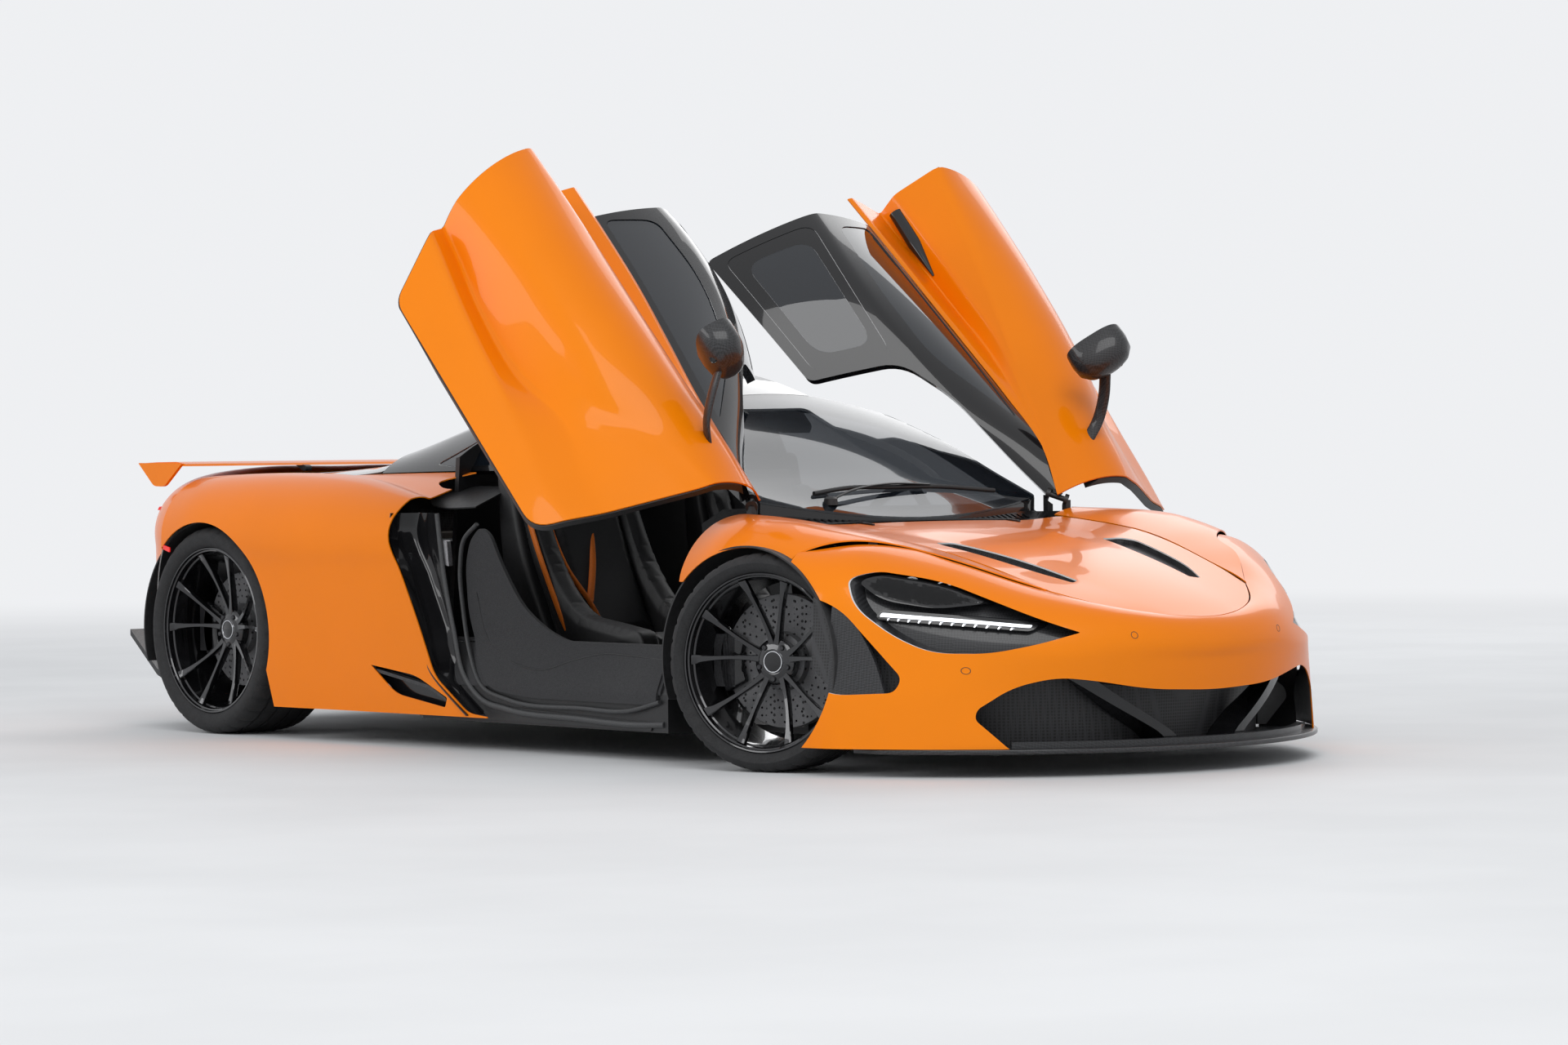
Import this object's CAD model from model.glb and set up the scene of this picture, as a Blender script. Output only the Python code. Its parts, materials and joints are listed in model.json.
"""The looks of a mid-engined supercar with its doors raised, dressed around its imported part.

Tables of sections are in millimetres: w runs across the car from its middle, s back from the nose and z up
from the floor. Meshes are in metres in the part's own frame.
"""

import json
import logging
import math
from collections.abc import Callable, Sequence
from dataclasses import dataclass
from enum import Enum

import bmesh
import bpy
import numpy as np
from mathutils import Matrix, Vector

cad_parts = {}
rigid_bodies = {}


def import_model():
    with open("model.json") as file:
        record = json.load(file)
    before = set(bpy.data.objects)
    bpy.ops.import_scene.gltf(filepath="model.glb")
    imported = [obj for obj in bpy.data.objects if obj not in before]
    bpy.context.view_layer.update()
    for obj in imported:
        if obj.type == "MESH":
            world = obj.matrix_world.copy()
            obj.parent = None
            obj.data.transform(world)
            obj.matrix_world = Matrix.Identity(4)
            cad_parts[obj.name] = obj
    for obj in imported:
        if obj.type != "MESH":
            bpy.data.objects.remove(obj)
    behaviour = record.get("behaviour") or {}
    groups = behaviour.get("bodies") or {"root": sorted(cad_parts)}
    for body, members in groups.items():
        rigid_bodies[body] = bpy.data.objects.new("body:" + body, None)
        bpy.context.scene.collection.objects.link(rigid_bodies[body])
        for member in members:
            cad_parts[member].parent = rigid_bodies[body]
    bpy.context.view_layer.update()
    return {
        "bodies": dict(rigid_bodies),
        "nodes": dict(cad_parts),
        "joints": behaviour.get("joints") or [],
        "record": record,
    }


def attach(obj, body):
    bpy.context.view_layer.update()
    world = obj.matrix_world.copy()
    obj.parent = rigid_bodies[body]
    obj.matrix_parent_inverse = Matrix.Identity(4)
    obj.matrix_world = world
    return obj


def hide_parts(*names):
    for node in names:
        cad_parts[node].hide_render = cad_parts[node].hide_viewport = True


LOG = logging.getLogger("supercar")

MM = 0.001
LENGTH = 4543.0
FRONT_AXLE = 1142.0
REAR_AXLE = 3797.0
NOSE_CENTRE = 1127.0
TAIL_CENTRE = 3650.0
HALF_FRONT_TRACK = 830.0
HALF_REAR_TRACK = 800.0
KINGPIN_W = 745.0
STEER_ANGLE = 17.0
DOOR_OPEN_ANGLE = 68.66
HINGE_POINT = (700.0, 1379.0, 718.0)
HINGE_DIRECTION = (-0.623, 0.705, 0.338)

# Wheel arches from the side: s and z of the middle, half length and half height
FRONT_ARCH = (1150.0, 310.0, 366.0, 324.0)
REAR_ARCH = (3809.0, 338.0, 376.0, 352.0)

# How far the cutting tools reach: from, to and axis
THROUGH_NOSE = (-100.0, 620.0, "y")
THROUGH_TAIL = (4150.0, 4700.0, "y")
THROUGH_DOME = (500.0, 1400.0, "z")
THROUGH_ROOF = (900.0, 1400.0, "z")
THROUGH_LID = (300.0, 900.0, "z")
THROUGH_DECK = (600.0, 1000.0, "z")
THROUGH_ARCH = (560.0, 1100.0, "x")
THROUGH_FLANK = (300.0, 1100.0, "x")
THROUGH_SKIN = (700.0, 1100.0, "x")

Point2 = tuple[float, float]
Corners = tuple[tuple[float, float, float], ...]
Row = tuple[float, tuple[Point2, ...]]


class Side(Enum):
    """The car's own left and right, as the sign of w."""

    LEFT = 1.0
    RIGHT = -1.0

    @property
    def word(self) -> str:
        """The side's word as the part's nodes use it."""
        return self.name.lower()


def at(w: float, s: float, z: float) -> Vector:
    """Place of w, s, z in metres in the part's frame."""
    return Vector((w * MM, (s - LENGTH / 2.0) * MM, z * MM))


# Finishes


class Nodes:
    """A material's node tree with short calls to add and join nodes."""

    def __init__(self, name: str) -> None:
        """Make the material and clear its tree.

        Args:
            name: The material's name.
        """
        self.material = bpy.data.materials.new(name)
        self.material.use_nodes = True
        self.tree = self.material.node_tree
        self.tree.nodes.clear()
        self.output = self.tree.nodes.new("ShaderNodeOutputMaterial")
        self.shader = self.tree.nodes.new("ShaderNodeBsdfPrincipled")
        self.tree.links.new(self.shader.outputs["BSDF"], self.output.inputs["Surface"])

    def add(self, kind: str, **settings: object) -> bpy.types.Node:
        """Add a node.

        Args:
            kind: The node's type name without its ShaderNode prefix.
            settings: Attributes of the node to set.

        Returns:
            The new node.
        """
        made = self.tree.nodes.new("ShaderNode" + kind)
        for key, value in settings.items():
            setattr(made, key, value)
        return made

    def join(self, source: bpy.types.NodeSocket, target: bpy.types.NodeSocket) -> None:
        """Link a source socket to a target socket."""
        self.tree.links.new(source, target)

    def place(self, scale: float, turn: Sequence[float] = (0.0, 0.0, 0.0)) -> bpy.types.NodeSocket:
        """Object coordinates, scaled and turned.

        Args:
            scale: Cells per metre.
            turn: Turns about the three axes in degrees.

        Returns:
            The vector socket.
        """
        coordinates = self.add("TexCoord")
        mapping = self.add("Mapping")
        mapping.inputs["Scale"].default_value = (scale, scale, scale)
        mapping.inputs["Rotation"].default_value = [math.radians(v) for v in turn]
        self.join(coordinates.outputs["Object"], mapping.inputs["Vector"])
        return mapping.outputs["Vector"]

    def noise(self, scale: float, detail: float = 3.0) -> bpy.types.NodeSocket:
        """Soft noise in object space.

        Args:
            scale: Cells per metre.
            detail: How many finer layers it has.

        Returns:
            The value socket.
        """
        made = self.add("TexNoise")
        made.inputs["Scale"].default_value = 1.0
        made.inputs["Detail"].default_value = detail
        self.join(self.place(scale), made.inputs["Vector"])
        return made.outputs["Fac"]

    def ramp(self, source: bpy.types.NodeSocket, low: Sequence[float], high: Sequence[float],
             start: float = 0.0, end: float = 1.0) -> bpy.types.NodeSocket:
        """Colours between two ends of a value.

        Args:
            source: The value.
            low: Colour at the start.
            high: Colour at the end.
            start: Value of the low colour.
            end: Value of the high colour.

        Returns:
            The colour socket.
        """
        made = self.add("ValToRGB")
        made.color_ramp.elements[0].position = start
        made.color_ramp.elements[1].position = end
        made.color_ramp.elements[0].color = (*low, 1.0)
        made.color_ramp.elements[1].color = (*high, 1.0)
        self.join(source, made.inputs["Fac"])
        return made.outputs["Color"]

    def bump(self, source: bpy.types.NodeSocket, strength: float, depth: float) -> None:
        """Raise the shader's surface by a value.

        Args:
            source: The value.
            strength: Share of the relief that shows.
            depth: Height of the relief in metres.
        """
        made = self.add("Bump")
        made.inputs["Strength"].default_value = strength
        made.inputs["Distance"].default_value = depth
        self.join(source, made.inputs["Height"])
        self.join(made.outputs["Normal"], self.shader.inputs["Normal"])

    def set(self, **values: object) -> None:
        """Set the shader's sockets, with underscores in their names for spaces."""
        for key, value in values.items():
            self.shader.inputs[key.replace("_", " ")].default_value = value


@dataclass(frozen=True)
class Lacquer:
    """A solid colour under a clear coat, with faint depth in the colour."""

    name: str
    colour: tuple[float, float, float]
    deeper: tuple[float, float, float]
    roughness: float = 0.32
    coat: float = 1.0

    def make(self) -> bpy.types.Material:
        """Build the material.

        Returns:
            The material.
        """
        nodes = Nodes(self.name)
        nodes.set(Roughness=self.roughness, Coat_Weight=self.coat, Coat_Roughness=0.03, Coat_IOR=1.45,
                  Specular_IOR_Level=0.1)
        facing = nodes.add("LayerWeight")
        facing.inputs["Blend"].default_value = 0.35
        mix = nodes.add("Mix", data_type="RGBA")
        nodes.join(facing.outputs["Facing"], mix.inputs["Factor"])
        cloud = nodes.ramp(nodes.noise(3.0), self.colour, [v * 0.96 for v in self.colour], 0.3, 0.7)
        nodes.join(cloud, mix.inputs["A"])
        mix.inputs["B"].default_value = (*self.deeper, 1.0)
        nodes.join(mix.outputs["Result"], nodes.shader.inputs["Base Color"])
        return nodes.material


@dataclass(frozen=True)
class Plain:
    """A moulded, cast or coated surface with fine grain in its colour, gloss and relief."""

    name: str
    colour: tuple[float, float, float]
    roughness: float
    metallic: float = 0.0
    grain: float = 260.0
    relief: float = 0.0004
    spread: float = 0.25
    coat: float = 0.0

    def make(self) -> bpy.types.Material:
        """Build the material.

        Returns:
            The material.
        """
        nodes = Nodes(self.name)
        nodes.set(Metallic=self.metallic, Coat_Weight=self.coat, Coat_Roughness=0.04)
        grain = nodes.noise(self.grain)
        low = [v * (1.0 - self.spread) for v in self.colour]
        high = [min(1.0, v * (1.0 + self.spread)) for v in self.colour]
        nodes.join(nodes.ramp(grain, low, high, 0.3, 0.7), nodes.shader.inputs["Base Color"])
        rough = [self.roughness * 0.85] * 3
        smooth = [min(1.0, self.roughness * 1.15)] * 3
        nodes.join(nodes.ramp(nodes.noise(self.grain * 0.2), rough, smooth), nodes.shader.inputs["Roughness"])
        if self.relief:
            nodes.bump(grain, 0.5, self.relief)
        return nodes.material


@dataclass(frozen=True)
class Weave:
    """Woven carbon in twill under gloss resin."""

    name: str
    tow: float = 170.0
    dark: tuple[float, float, float] = (0.006, 0.006, 0.007)
    light: tuple[float, float, float] = (0.03, 0.031, 0.034)

    def make(self) -> bpy.types.Material:
        """Build the material.

        Returns:
            The material.
        """
        nodes = Nodes(self.name)
        nodes.set(Roughness=0.45, Coat_Weight=0.45, Coat_Roughness=0.06, Specular_IOR_Level=0.35)
        check = nodes.add("TexChecker")
        check.inputs["Scale"].default_value = 1.0
        nodes.join(nodes.place(self.tow, (35.0, 25.0, 45.0)), check.inputs["Vector"])
        wave = nodes.add("TexWave", bands_direction="DIAGONAL")
        wave.inputs["Scale"].default_value = 0.5
        nodes.join(nodes.place(self.tow), wave.inputs["Vector"])
        mix = nodes.add("Mix", data_type="FLOAT")
        mix.inputs["Factor"].default_value = 0.5
        nodes.join(check.outputs["Fac"], mix.inputs["A"])
        nodes.join(wave.outputs["Fac"], mix.inputs["B"])
        nodes.join(nodes.ramp(mix.outputs["Result"], self.dark, self.light, 0.15, 0.85),
                   nodes.shader.inputs["Base Color"])
        nodes.bump(mix.outputs["Result"], 0.25, 0.0003)
        return nodes.material


@dataclass(frozen=True)
class Glass:
    """Tinted glass with a faint bloom in its gloss."""

    name: str
    tint: tuple[float, float, float]
    clear: float
    roughness: float = 0.015

    def make(self) -> bpy.types.Material:
        """Build the material.

        Returns:
            The material.
        """
        nodes = Nodes(self.name)
        nodes.set(Alpha=1.0, IOR=1.5, Coat_Weight=0.6, Coat_Roughness=0.01)
        nodes.join(nodes.ramp(nodes.noise(2.0), self.tint, [v * 1.15 for v in self.tint]),
                   nodes.shader.inputs["Base Color"])
        nodes.set(Roughness=self.roughness)
        through = nodes.add("BsdfTransparent")
        through.inputs["Color"].default_value = (*[0.35 + 0.65 * v ** 0.3 for v in self.tint], 1.0)
        mix = nodes.add("MixShader")
        mix.inputs["Fac"].default_value = self.clear
        nodes.join(nodes.shader.outputs["BSDF"], mix.inputs[1])
        nodes.join(through.outputs["BSDF"], mix.inputs[2])
        nodes.join(mix.outputs["Shader"], nodes.output.inputs["Surface"])
        return nodes.material


@dataclass(frozen=True)
class Glow:
    """A lamp's light guide, lit along its length in fine steps."""

    name: str
    colour: tuple[float, float, float]
    strength: float

    def make(self) -> bpy.types.Material:
        """Build the material.

        Returns:
            The material.
        """
        nodes = Nodes(self.name)
        steps = nodes.ramp(nodes.noise(90.0), [v * 0.75 for v in self.colour], self.colour, 0.35, 0.6)
        nodes.join(steps, nodes.shader.inputs["Base Color"])
        nodes.join(steps, nodes.shader.inputs["Emission Color"])
        nodes.set(Emission_Strength=self.strength, Roughness=0.25)
        return nodes.material


@dataclass(frozen=True)
class Mesh:
    """Fine wire mesh drawn as open cells between dark wires."""

    name: str
    cells: float = 110.0

    def make(self) -> bpy.types.Material:
        """Build the material.

        Returns:
            The material.
        """
        nodes = Nodes(self.name)
        nodes.set(Metallic=0.0, Roughness=0.5)
        cell = nodes.add("TexVoronoi", feature="DISTANCE_TO_EDGE")
        cell.inputs["Scale"].default_value = 1.0
        cell.inputs["Randomness"].default_value = 0.0
        nodes.join(nodes.place(self.cells), cell.inputs["Vector"])
        nodes.join(nodes.ramp(cell.outputs["Distance"], (0.03, 0.03, 0.033), (0.002, 0.002, 0.002), 0.1,
                              0.22), nodes.shader.inputs["Base Color"])
        nodes.bump(cell.outputs["Distance"], 0.5, -0.0008)
        return nodes.material


@dataclass(frozen=True)
class Drilled:
    """A grey ceramic brake disc with drilled holes in rings about the wheel's axle."""

    name: str

    def make(self) -> bpy.types.Material:
        """Build the material.

        Returns:
            The material.
        """
        nodes = Nodes(self.name)
        nodes.set(Metallic=0.35, Roughness=0.45)
        cell = nodes.add("TexVoronoi", feature="F1")
        cell.inputs["Scale"].default_value = 1.0
        cell.inputs["Randomness"].default_value = 0.12
        nodes.join(nodes.place(52.0, (0.0, 0.0, 20.0)), cell.inputs["Vector"])
        holes = nodes.ramp(cell.outputs["Distance"], (0.01, 0.01, 0.01), (0.16, 0.16, 0.165), 0.2, 0.24)
        grain = nodes.ramp(nodes.noise(420.0), (0.7, 0.7, 0.7), (1.0, 1.0, 1.0), 0.3, 0.7)
        mix = nodes.add("Mix", data_type="RGBA", blend_type="MULTIPLY")
        mix.inputs["Factor"].default_value = 1.0
        nodes.join(holes, mix.inputs["A"])
        nodes.join(grain, mix.inputs["B"])
        nodes.join(mix.outputs["Result"], nodes.shader.inputs["Base Color"])
        return nodes.material


class Finish(Enum):
    """Every finish of the car."""

    ORANGE = Lacquer("orange_paint", (0.98, 0.255, 0.0), (0.84, 0.16, 0.0), 0.3, 0.32)
    GLOSS_BLACK = Lacquer("gloss_black", (0.008, 0.008, 0.009), (0.004, 0.004, 0.005), 0.25)
    RIM_BLACK = Plain("rim_black", (0.014, 0.014, 0.016), 0.22, 0.7, 300.0, 0.0, 0.3, 1.0)
    SATIN_BLACK = Plain("satin_black", (0.012, 0.012, 0.013), 0.45)
    CARBON = Weave("woven_carbon")
    SCREEN = Glass("screen_glass", (0.012, 0.016, 0.022), 0.42)
    DARK_GLASS = Glass("dark_glass", (0.006, 0.009, 0.014), 0.12)
    LENS = Glass("lamp_lens", (0.02, 0.022, 0.025), 0.88)
    LAMP_WHITE = Glow("lamp_white", (0.92, 0.95, 1.0), 1.6)
    LAMP_RED = Glow("lamp_red", (0.65, 0.01, 0.008), 0.6)
    TYRE = Plain("tyre_rubber", (0.014, 0.014, 0.015), 0.8, 0.0, 180.0, 0.0006)
    SEAL = Plain("rubber_seal", (0.055, 0.056, 0.058), 0.6, 0.0, 300.0, 0.0003)
    SUEDE = Plain("grey_suede", (0.034, 0.034, 0.036), 0.95, 0.0, 520.0, 0.0008, 0.35)
    BLACK_SUEDE = Plain("black_suede", (0.014, 0.014, 0.015), 0.9, 0.0, 520.0, 0.0008, 0.4)
    LEATHER = Plain("black_leather", (0.016, 0.016, 0.017), 0.5, 0.0, 380.0, 0.0007)
    ORANGE_HIDE = Plain("orange_hide", (0.75, 0.17, 0.01), 0.55, 0.0, 380.0, 0.0006, 0.12)
    CARPET = Plain("black_carpet", (0.02, 0.02, 0.021), 1.0, 0.0, 700.0, 0.002, 0.5)
    ALLOY = Plain("forged_alloy", (0.32, 0.32, 0.33), 0.35, 0.9, 240.0, 0.0003)
    DARK_ALLOY = Plain("dark_alloy", (0.05, 0.05, 0.053), 0.4, 0.8, 240.0, 0.0003)
    STEEL = Plain("pipe_steel", (0.28, 0.25, 0.22), 0.28, 1.0, 90.0, 0.0001, 0.2)
    SILVER = Plain("bright_silver", (0.65, 0.66, 0.68), 0.2, 1.0, 400.0, 0.0)
    MESH = Mesh("wire_mesh")
    DISC = Drilled("brake_disc")
    UNDERTRAY = Plain("undertray", (0.015, 0.015, 0.016), 0.6, 0.0, 60.0, 0.001)


class Paintbox:
    """Hands out each finish's material, made once."""

    made: dict[Finish, bpy.types.Material] = {}

    @classmethod
    def get(cls, finish: Finish) -> bpy.types.Material:
        """Return the material of a finish, building it at its first use."""
        if finish not in cls.made:
            cls.made[finish] = finish.value.make()
        return cls.made[finish]


# Meshes


def new_object(name: str, points: Sequence[Sequence[float]], faces: Sequence[Sequence[int]],
               *finishes: Finish) -> bpy.types.Object:
    """Make a mesh object.

    Args:
        name: The object's name.
        points: Its points, in metres.
        faces: Its faces as lists of point numbers.
        finishes: The finishes of its material slots.

    Returns:
        The new object, linked to the scene.
    """
    mesh = bpy.data.meshes.new(name)
    mesh.from_pydata([tuple(p) for p in points], [], [tuple(f) for f in faces])
    for finish in finishes:
        mesh.materials.append(Paintbox.get(finish))
    mesh.validate()
    made = bpy.data.objects.new(name, mesh)
    bpy.context.scene.collection.objects.link(made)
    tidy_normals(made)
    return made


def tidy_normals(made: bpy.types.Object) -> None:
    """Turn all faces of a closed mesh outward.

    Args:
        made: The mesh's object.
    """
    shape = bmesh.new()
    shape.from_mesh(made.data)
    bmesh.ops.remove_doubles(shape, verts=shape.verts, dist=1e-6)
    bmesh.ops.recalc_face_normals(shape, faces=shape.faces)
    shape.to_mesh(made.data)
    shape.free()


def smooth(made: bpy.types.Object, angle: float = 32.0) -> bpy.types.Object:
    """Shade an object smooth, with edges past an angle left sharp, and return it."""
    made.data.shade_smooth()
    made.data.set_sharp_from_angle(angle=math.radians(angle))
    return made


def apply_modifiers(made: bpy.types.Object) -> bpy.types.Object:
    """Bake an object's modifiers into its mesh.

    Args:
        made: The object.

    Returns:
        The same object.
    """
    graph = bpy.context.evaluated_depsgraph_get()
    baked = bpy.data.meshes.new_from_object(made.evaluated_get(graph))
    made.modifiers.clear()
    old = made.data
    made.data = baked
    bpy.data.meshes.remove(old)
    return made


def cut(made: bpy.types.Object, other: bpy.types.Object, how: str = "DIFFERENCE") -> bpy.types.Object:
    """Cut an object by a tool object, which is then removed.

    Args:
        made: The object that is cut.
        other: The tool.
        how: DIFFERENCE, INTERSECT or UNION.

    Returns:
        The cut object.
    """
    modifier = made.modifiers.new("cut", "BOOLEAN")
    modifier.operation = how
    modifier.solver = "MANIFOLD"
    modifier.object = other
    apply_modifiers(made)
    bpy.data.objects.remove(other)
    return made


def mirrored(made: bpy.types.Object, name: str) -> bpy.types.Object:
    """Copy an object to the other side of the car.

    Args:
        made: The left object.
        name: The copy's name.

    Returns:
        The right object.
    """
    copy = bpy.data.objects.new(name, made.data.copy())
    bpy.context.scene.collection.objects.link(copy)
    copy.data.transform(Matrix.Scale(-1.0, 4, (1.0, 0.0, 0.0)))
    copy.data.flip_normals()
    return copy


def joined(parts: Sequence[bpy.types.Object], name: str) -> bpy.types.Object:
    """Join several objects into one, keeping their finishes.

    Args:
        parts: The objects, which are used up.
        name: The joined object's name.

    Returns:
        The joined object.
    """
    points, faces, slots, sharp_smooth = [], [], [], []
    materials: list[bpy.types.Material] = []
    for part in parts:
        base = len(points)
        points += [part.matrix_world @ v.co for v in part.data.vertices]
        for face in part.data.polygons:
            faces.append([base + i for i in face.vertices])
            material = part.data.materials[face.material_index] if part.data.materials else None
            if material not in materials:
                materials.append(material)
            slots.append(materials.index(material))
            sharp_smooth.append(face.use_smooth)
    mesh = bpy.data.meshes.new(name)
    mesh.from_pydata([tuple(p) for p in points], [], faces)
    for material in materials:
        mesh.materials.append(material)
    mesh.polygons.foreach_set("material_index", slots)
    mesh.polygons.foreach_set("use_smooth", sharp_smooth)
    made = bpy.data.objects.new(name, mesh)
    bpy.context.scene.collection.objects.link(made)
    for part in parts:
        bpy.data.objects.remove(part)
    mesh.set_sharp_from_angle(angle=math.radians(34.0))
    return made


def both_sides(left: bpy.types.Object, name: str = "tool") -> bpy.types.Object:
    """Join an object with its mirror image on the other side of the car.

    Args:
        left: The left object, which is used up.
        name: The joined object's name.

    Returns:
        The joined object.
    """
    return joined([left, mirrored(left, "right")], name)


def bevelled(made: bpy.types.Object, width: float, segments: int) -> bpy.types.Object:
    """Round an object's edges.

    Args:
        made: The object.
        width: Width of the round in metres.
        segments: Steps over the round.

    Returns:
        The same object.
    """
    bevel = made.modifiers.new("bevel", "BEVEL")
    bevel.width = width
    bevel.segments = segments
    bevel.limit_method = "ANGLE"
    return apply_modifiers(made)


def turned(degrees: float, axis: str | Vector) -> Matrix:
    """The turn about an axis through the origin."""
    return Matrix.Rotation(math.radians(degrees), 4, axis)


def about(pivot: Vector, turn: Matrix) -> Matrix:
    """The same turn about an axis through another point."""
    return Matrix.Translation(pivot) @ turn @ Matrix.Translation(-pivot)


def box_faces(count: int) -> list[list[int]]:
    """Faces of a block between two ends of that many points each."""
    ends = [list(range(count)), list(range(2 * count - 1, count - 1, -1))]
    return ends + [[i, (i + 1) % count, count + (i + 1) % count, count + i] for i in range(count)]


def ring_faces(rings: int, count: int, closed: bool = True) -> list[list[int]]:
    """Faces between neighbouring rings of points.

    Args:
        rings: How many rings there are.
        count: Points in each ring.
        closed: Whether the last ring joins the first one. If it does not, both ends are capped.

    Returns:
        The faces.
    """
    faces = []
    for i in range(rings if closed else rings - 1):
        k = (i + 1) % rings
        faces += [[i * count + j, i * count + (j + 1) % count, k * count + (j + 1) % count, k * count + j]
                  for j in range(count)]
    if not closed:
        faces += [list(range(count))[::-1], [(rings - 1) * count + j for j in range(count)]]
    return faces


def rounded(corners: Sequence[Sequence[float]], steps: int = 7) -> list[Point2]:
    """Round the corners of a closed outline.

    Args:
        corners: Rows of two coordinates and the corner's radius.
        steps: Points in each round corner.

    Returns:
        The outline's points.
    """
    out: list[Point2] = []
    count = len(corners)
    for i, (x, y, radius) in enumerate(corners):
        here = np.array((x, y))
        before = np.array(corners[i - 1][:2]) - here
        after = np.array(corners[(i + 1) % count][:2]) - here
        reach = min(radius, 0.45 * np.linalg.norm(before), 0.45 * np.linalg.norm(after))
        start = here + before / np.linalg.norm(before) * reach
        end = here + after / np.linalg.norm(after) * reach
        if reach < 1.0:
            out.append((x, y))
            continue
        for t in np.linspace(0.0, 1.0, steps):
            p = (1 - t) ** 2 * start + 2 * t * (1 - t) * here + t * t * end
            out.append((float(p[0]), float(p[1])))
    return out


def grown(outline: Sequence[Point2], margin: float) -> list[Point2]:
    """Move an outline outward by a margin, or inward where the margin is negative.

    Args:
        outline: The closed outline.
        margin: How far, in millimetres.

    Returns:
        The moved outline.
    """
    points = np.array(outline, float)
    area = np.sum(points[:, 0] * np.roll(points[:, 1], -1) - points[:, 1] * np.roll(points[:, 0], -1))
    edge = np.roll(points, -1, 0) - np.roll(points, 1, 0)
    normal = np.stack([edge[:, 1], -edge[:, 0]], 1) * (1.0 if area > 0 else -1.0)
    normal /= np.maximum(np.linalg.norm(normal, axis=1, keepdims=True), 1e-9)
    return [tuple(p) for p in points + normal * margin]


def prism(outline: Sequence[Point2], low: float, high: float, axis: str, name: str = "tool",
          *finishes: Finish) -> bpy.types.Object:
    """Raise an outline into a block.

    Args:
        outline: Corners as (s, z) for axis x, (w, s) for axis z and (w, z) for axis y.
        low: Where the block starts along the axis.
        high: Where it ends.
        axis: x, y or z.
        name: The object's name.
        finishes: Its finishes.

    Returns:
        The block.
    """
    places = {"x": lambda a, b, t: at(t, a, b), "y": lambda a, b, t: at(a, t, b), "z": lambda a, b,
              t: at(a, b, t)}
    place = places[axis]
    points = [place(a, b, low) for a, b in outline] + [place(a, b, high) for a, b in outline]
    return new_object(name, points, box_faces(len(outline)), *finishes)


def block(w0: float, w1: float, s0: float, s1: float, z0: float, z1: float) -> bpy.types.Object:
    """Make a plain block as a tool between two values of w, s and z."""
    return prism(((w0, s0), (w1, s0), (w1, s1), (w0, s1)), z0, z1, "z")


def ellipse(s: float, z: float, long: float, high: float, count: int = 96) -> list[Point2]:
    """Points of an ellipse in side view."""
    turns = np.linspace(0.0, 2.0 * math.pi, count, endpoint=False)
    return [(s + long * math.cos(t), z + high * math.sin(t)) for t in turns]


def arc_through(a: np.ndarray, b: np.ndarray, c: np.ndarray, count: int) -> np.ndarray:
    """Points of the arc from a over b to c.

    Args:
        a: Its start.
        b: A point on it.
        c: Its end.
        count: How many points, without the end.

    Returns:
        The points as rows.
    """
    cross = (b[0] - a[0]) * (c[1] - a[1]) - (b[1] - a[1]) * (c[0] - a[0])
    span = np.linalg.norm(c - a)
    if abs(cross) < 1e-3 * span * span:
        t = np.linspace(0.0, 1.0, count, endpoint=False)[:, None]
        return a + (c - a) * t
    rows = 2.0 * np.array([b - a, c - a])
    centre = np.linalg.solve(rows, np.array([b @ b - a @ a, c @ c - a @ a]))
    start, mid, end = (math.atan2(p[1] - centre[1], p[0] - centre[0]) for p in (a, b, c))
    way = 1.0 if cross > 0 else -1.0
    while way * (mid - start) < 0:
        mid += way * 2.0 * math.pi
    while way * (end - mid) < 0:
        end += way * 2.0 * math.pi
    turns = np.linspace(start, end, count, endpoint=False)
    radius = np.linalg.norm(a - centre)
    return centre + radius * np.stack([np.cos(turns), np.sin(turns)], 1)


def profile(points: Sequence[Point2], kinds: str, fine: int, soft: int) -> np.ndarray:
    """Sample a line of arcs (A, over three points) and straight runs (L), with its creases softened.

    Args:
        points: The line's points.
        kinds: One letter for each run.
        fine: Points in each run.
        soft: Smoothing passes over the creases.

    Returns:
        The samples as rows.
    """
    spots = np.array(points, float)
    runs, i = [], 0
    for kind in kinds:
        if kind == "A":
            runs.append(arc_through(spots[i], spots[i + 1], spots[i + 2], 2 * fine))
            i += 2
        else:
            t = np.linspace(0.0, 1.0, fine, endpoint=False)[:, None]
            runs.append(spots[i] + (spots[i + 1] - spots[i]) * t)
            i += 1
    line = np.concatenate(runs + [spots[-1:]])
    for _ in range(soft):
        line[1:-1] = 0.25 * line[:-2] + 0.5 * line[1:-1] + 0.25 * line[2:]
    return line


def through(keys: Sequence[float], values: np.ndarray, wanted: np.ndarray) -> np.ndarray:
    """Smooth curves through stations.

    Args:
        keys: Rising places of the stations.
        values: What each station holds, first axis by station.
        wanted: Places to sample.

    Returns:
        The samples, first axis by place.
    """
    keys = np.array(keys, float)
    slopes = np.diff(values, axis=0) / np.diff(keys)[:, None, None]
    tangent = np.empty_like(values)
    tangent[0], tangent[-1] = slopes[0], slopes[-1]
    before, after = np.diff(keys)[:-1, None, None], np.diff(keys)[1:, None, None]
    tangent[1:-1] = (slopes[:-1] * after + slopes[1:] * before) / (before + after)
    place = np.clip(np.searchsorted(keys, wanted, side="right") - 1, 0, len(keys) - 2)
    step = keys[place + 1] - keys[place]
    t = ((wanted - keys[place]) / step)[:, None, None]
    step = step[:, None, None]
    return ((2 * t ** 3 - 3 * t ** 2 + 1) * values[place] + (t ** 3 - 2 * t ** 2 + t) * step * tangent[place]
            + (3 * t ** 2 - 2 * t ** 3) * values[place + 1] + (t ** 3 - t ** 2) * step * tangent[place + 1])


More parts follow.
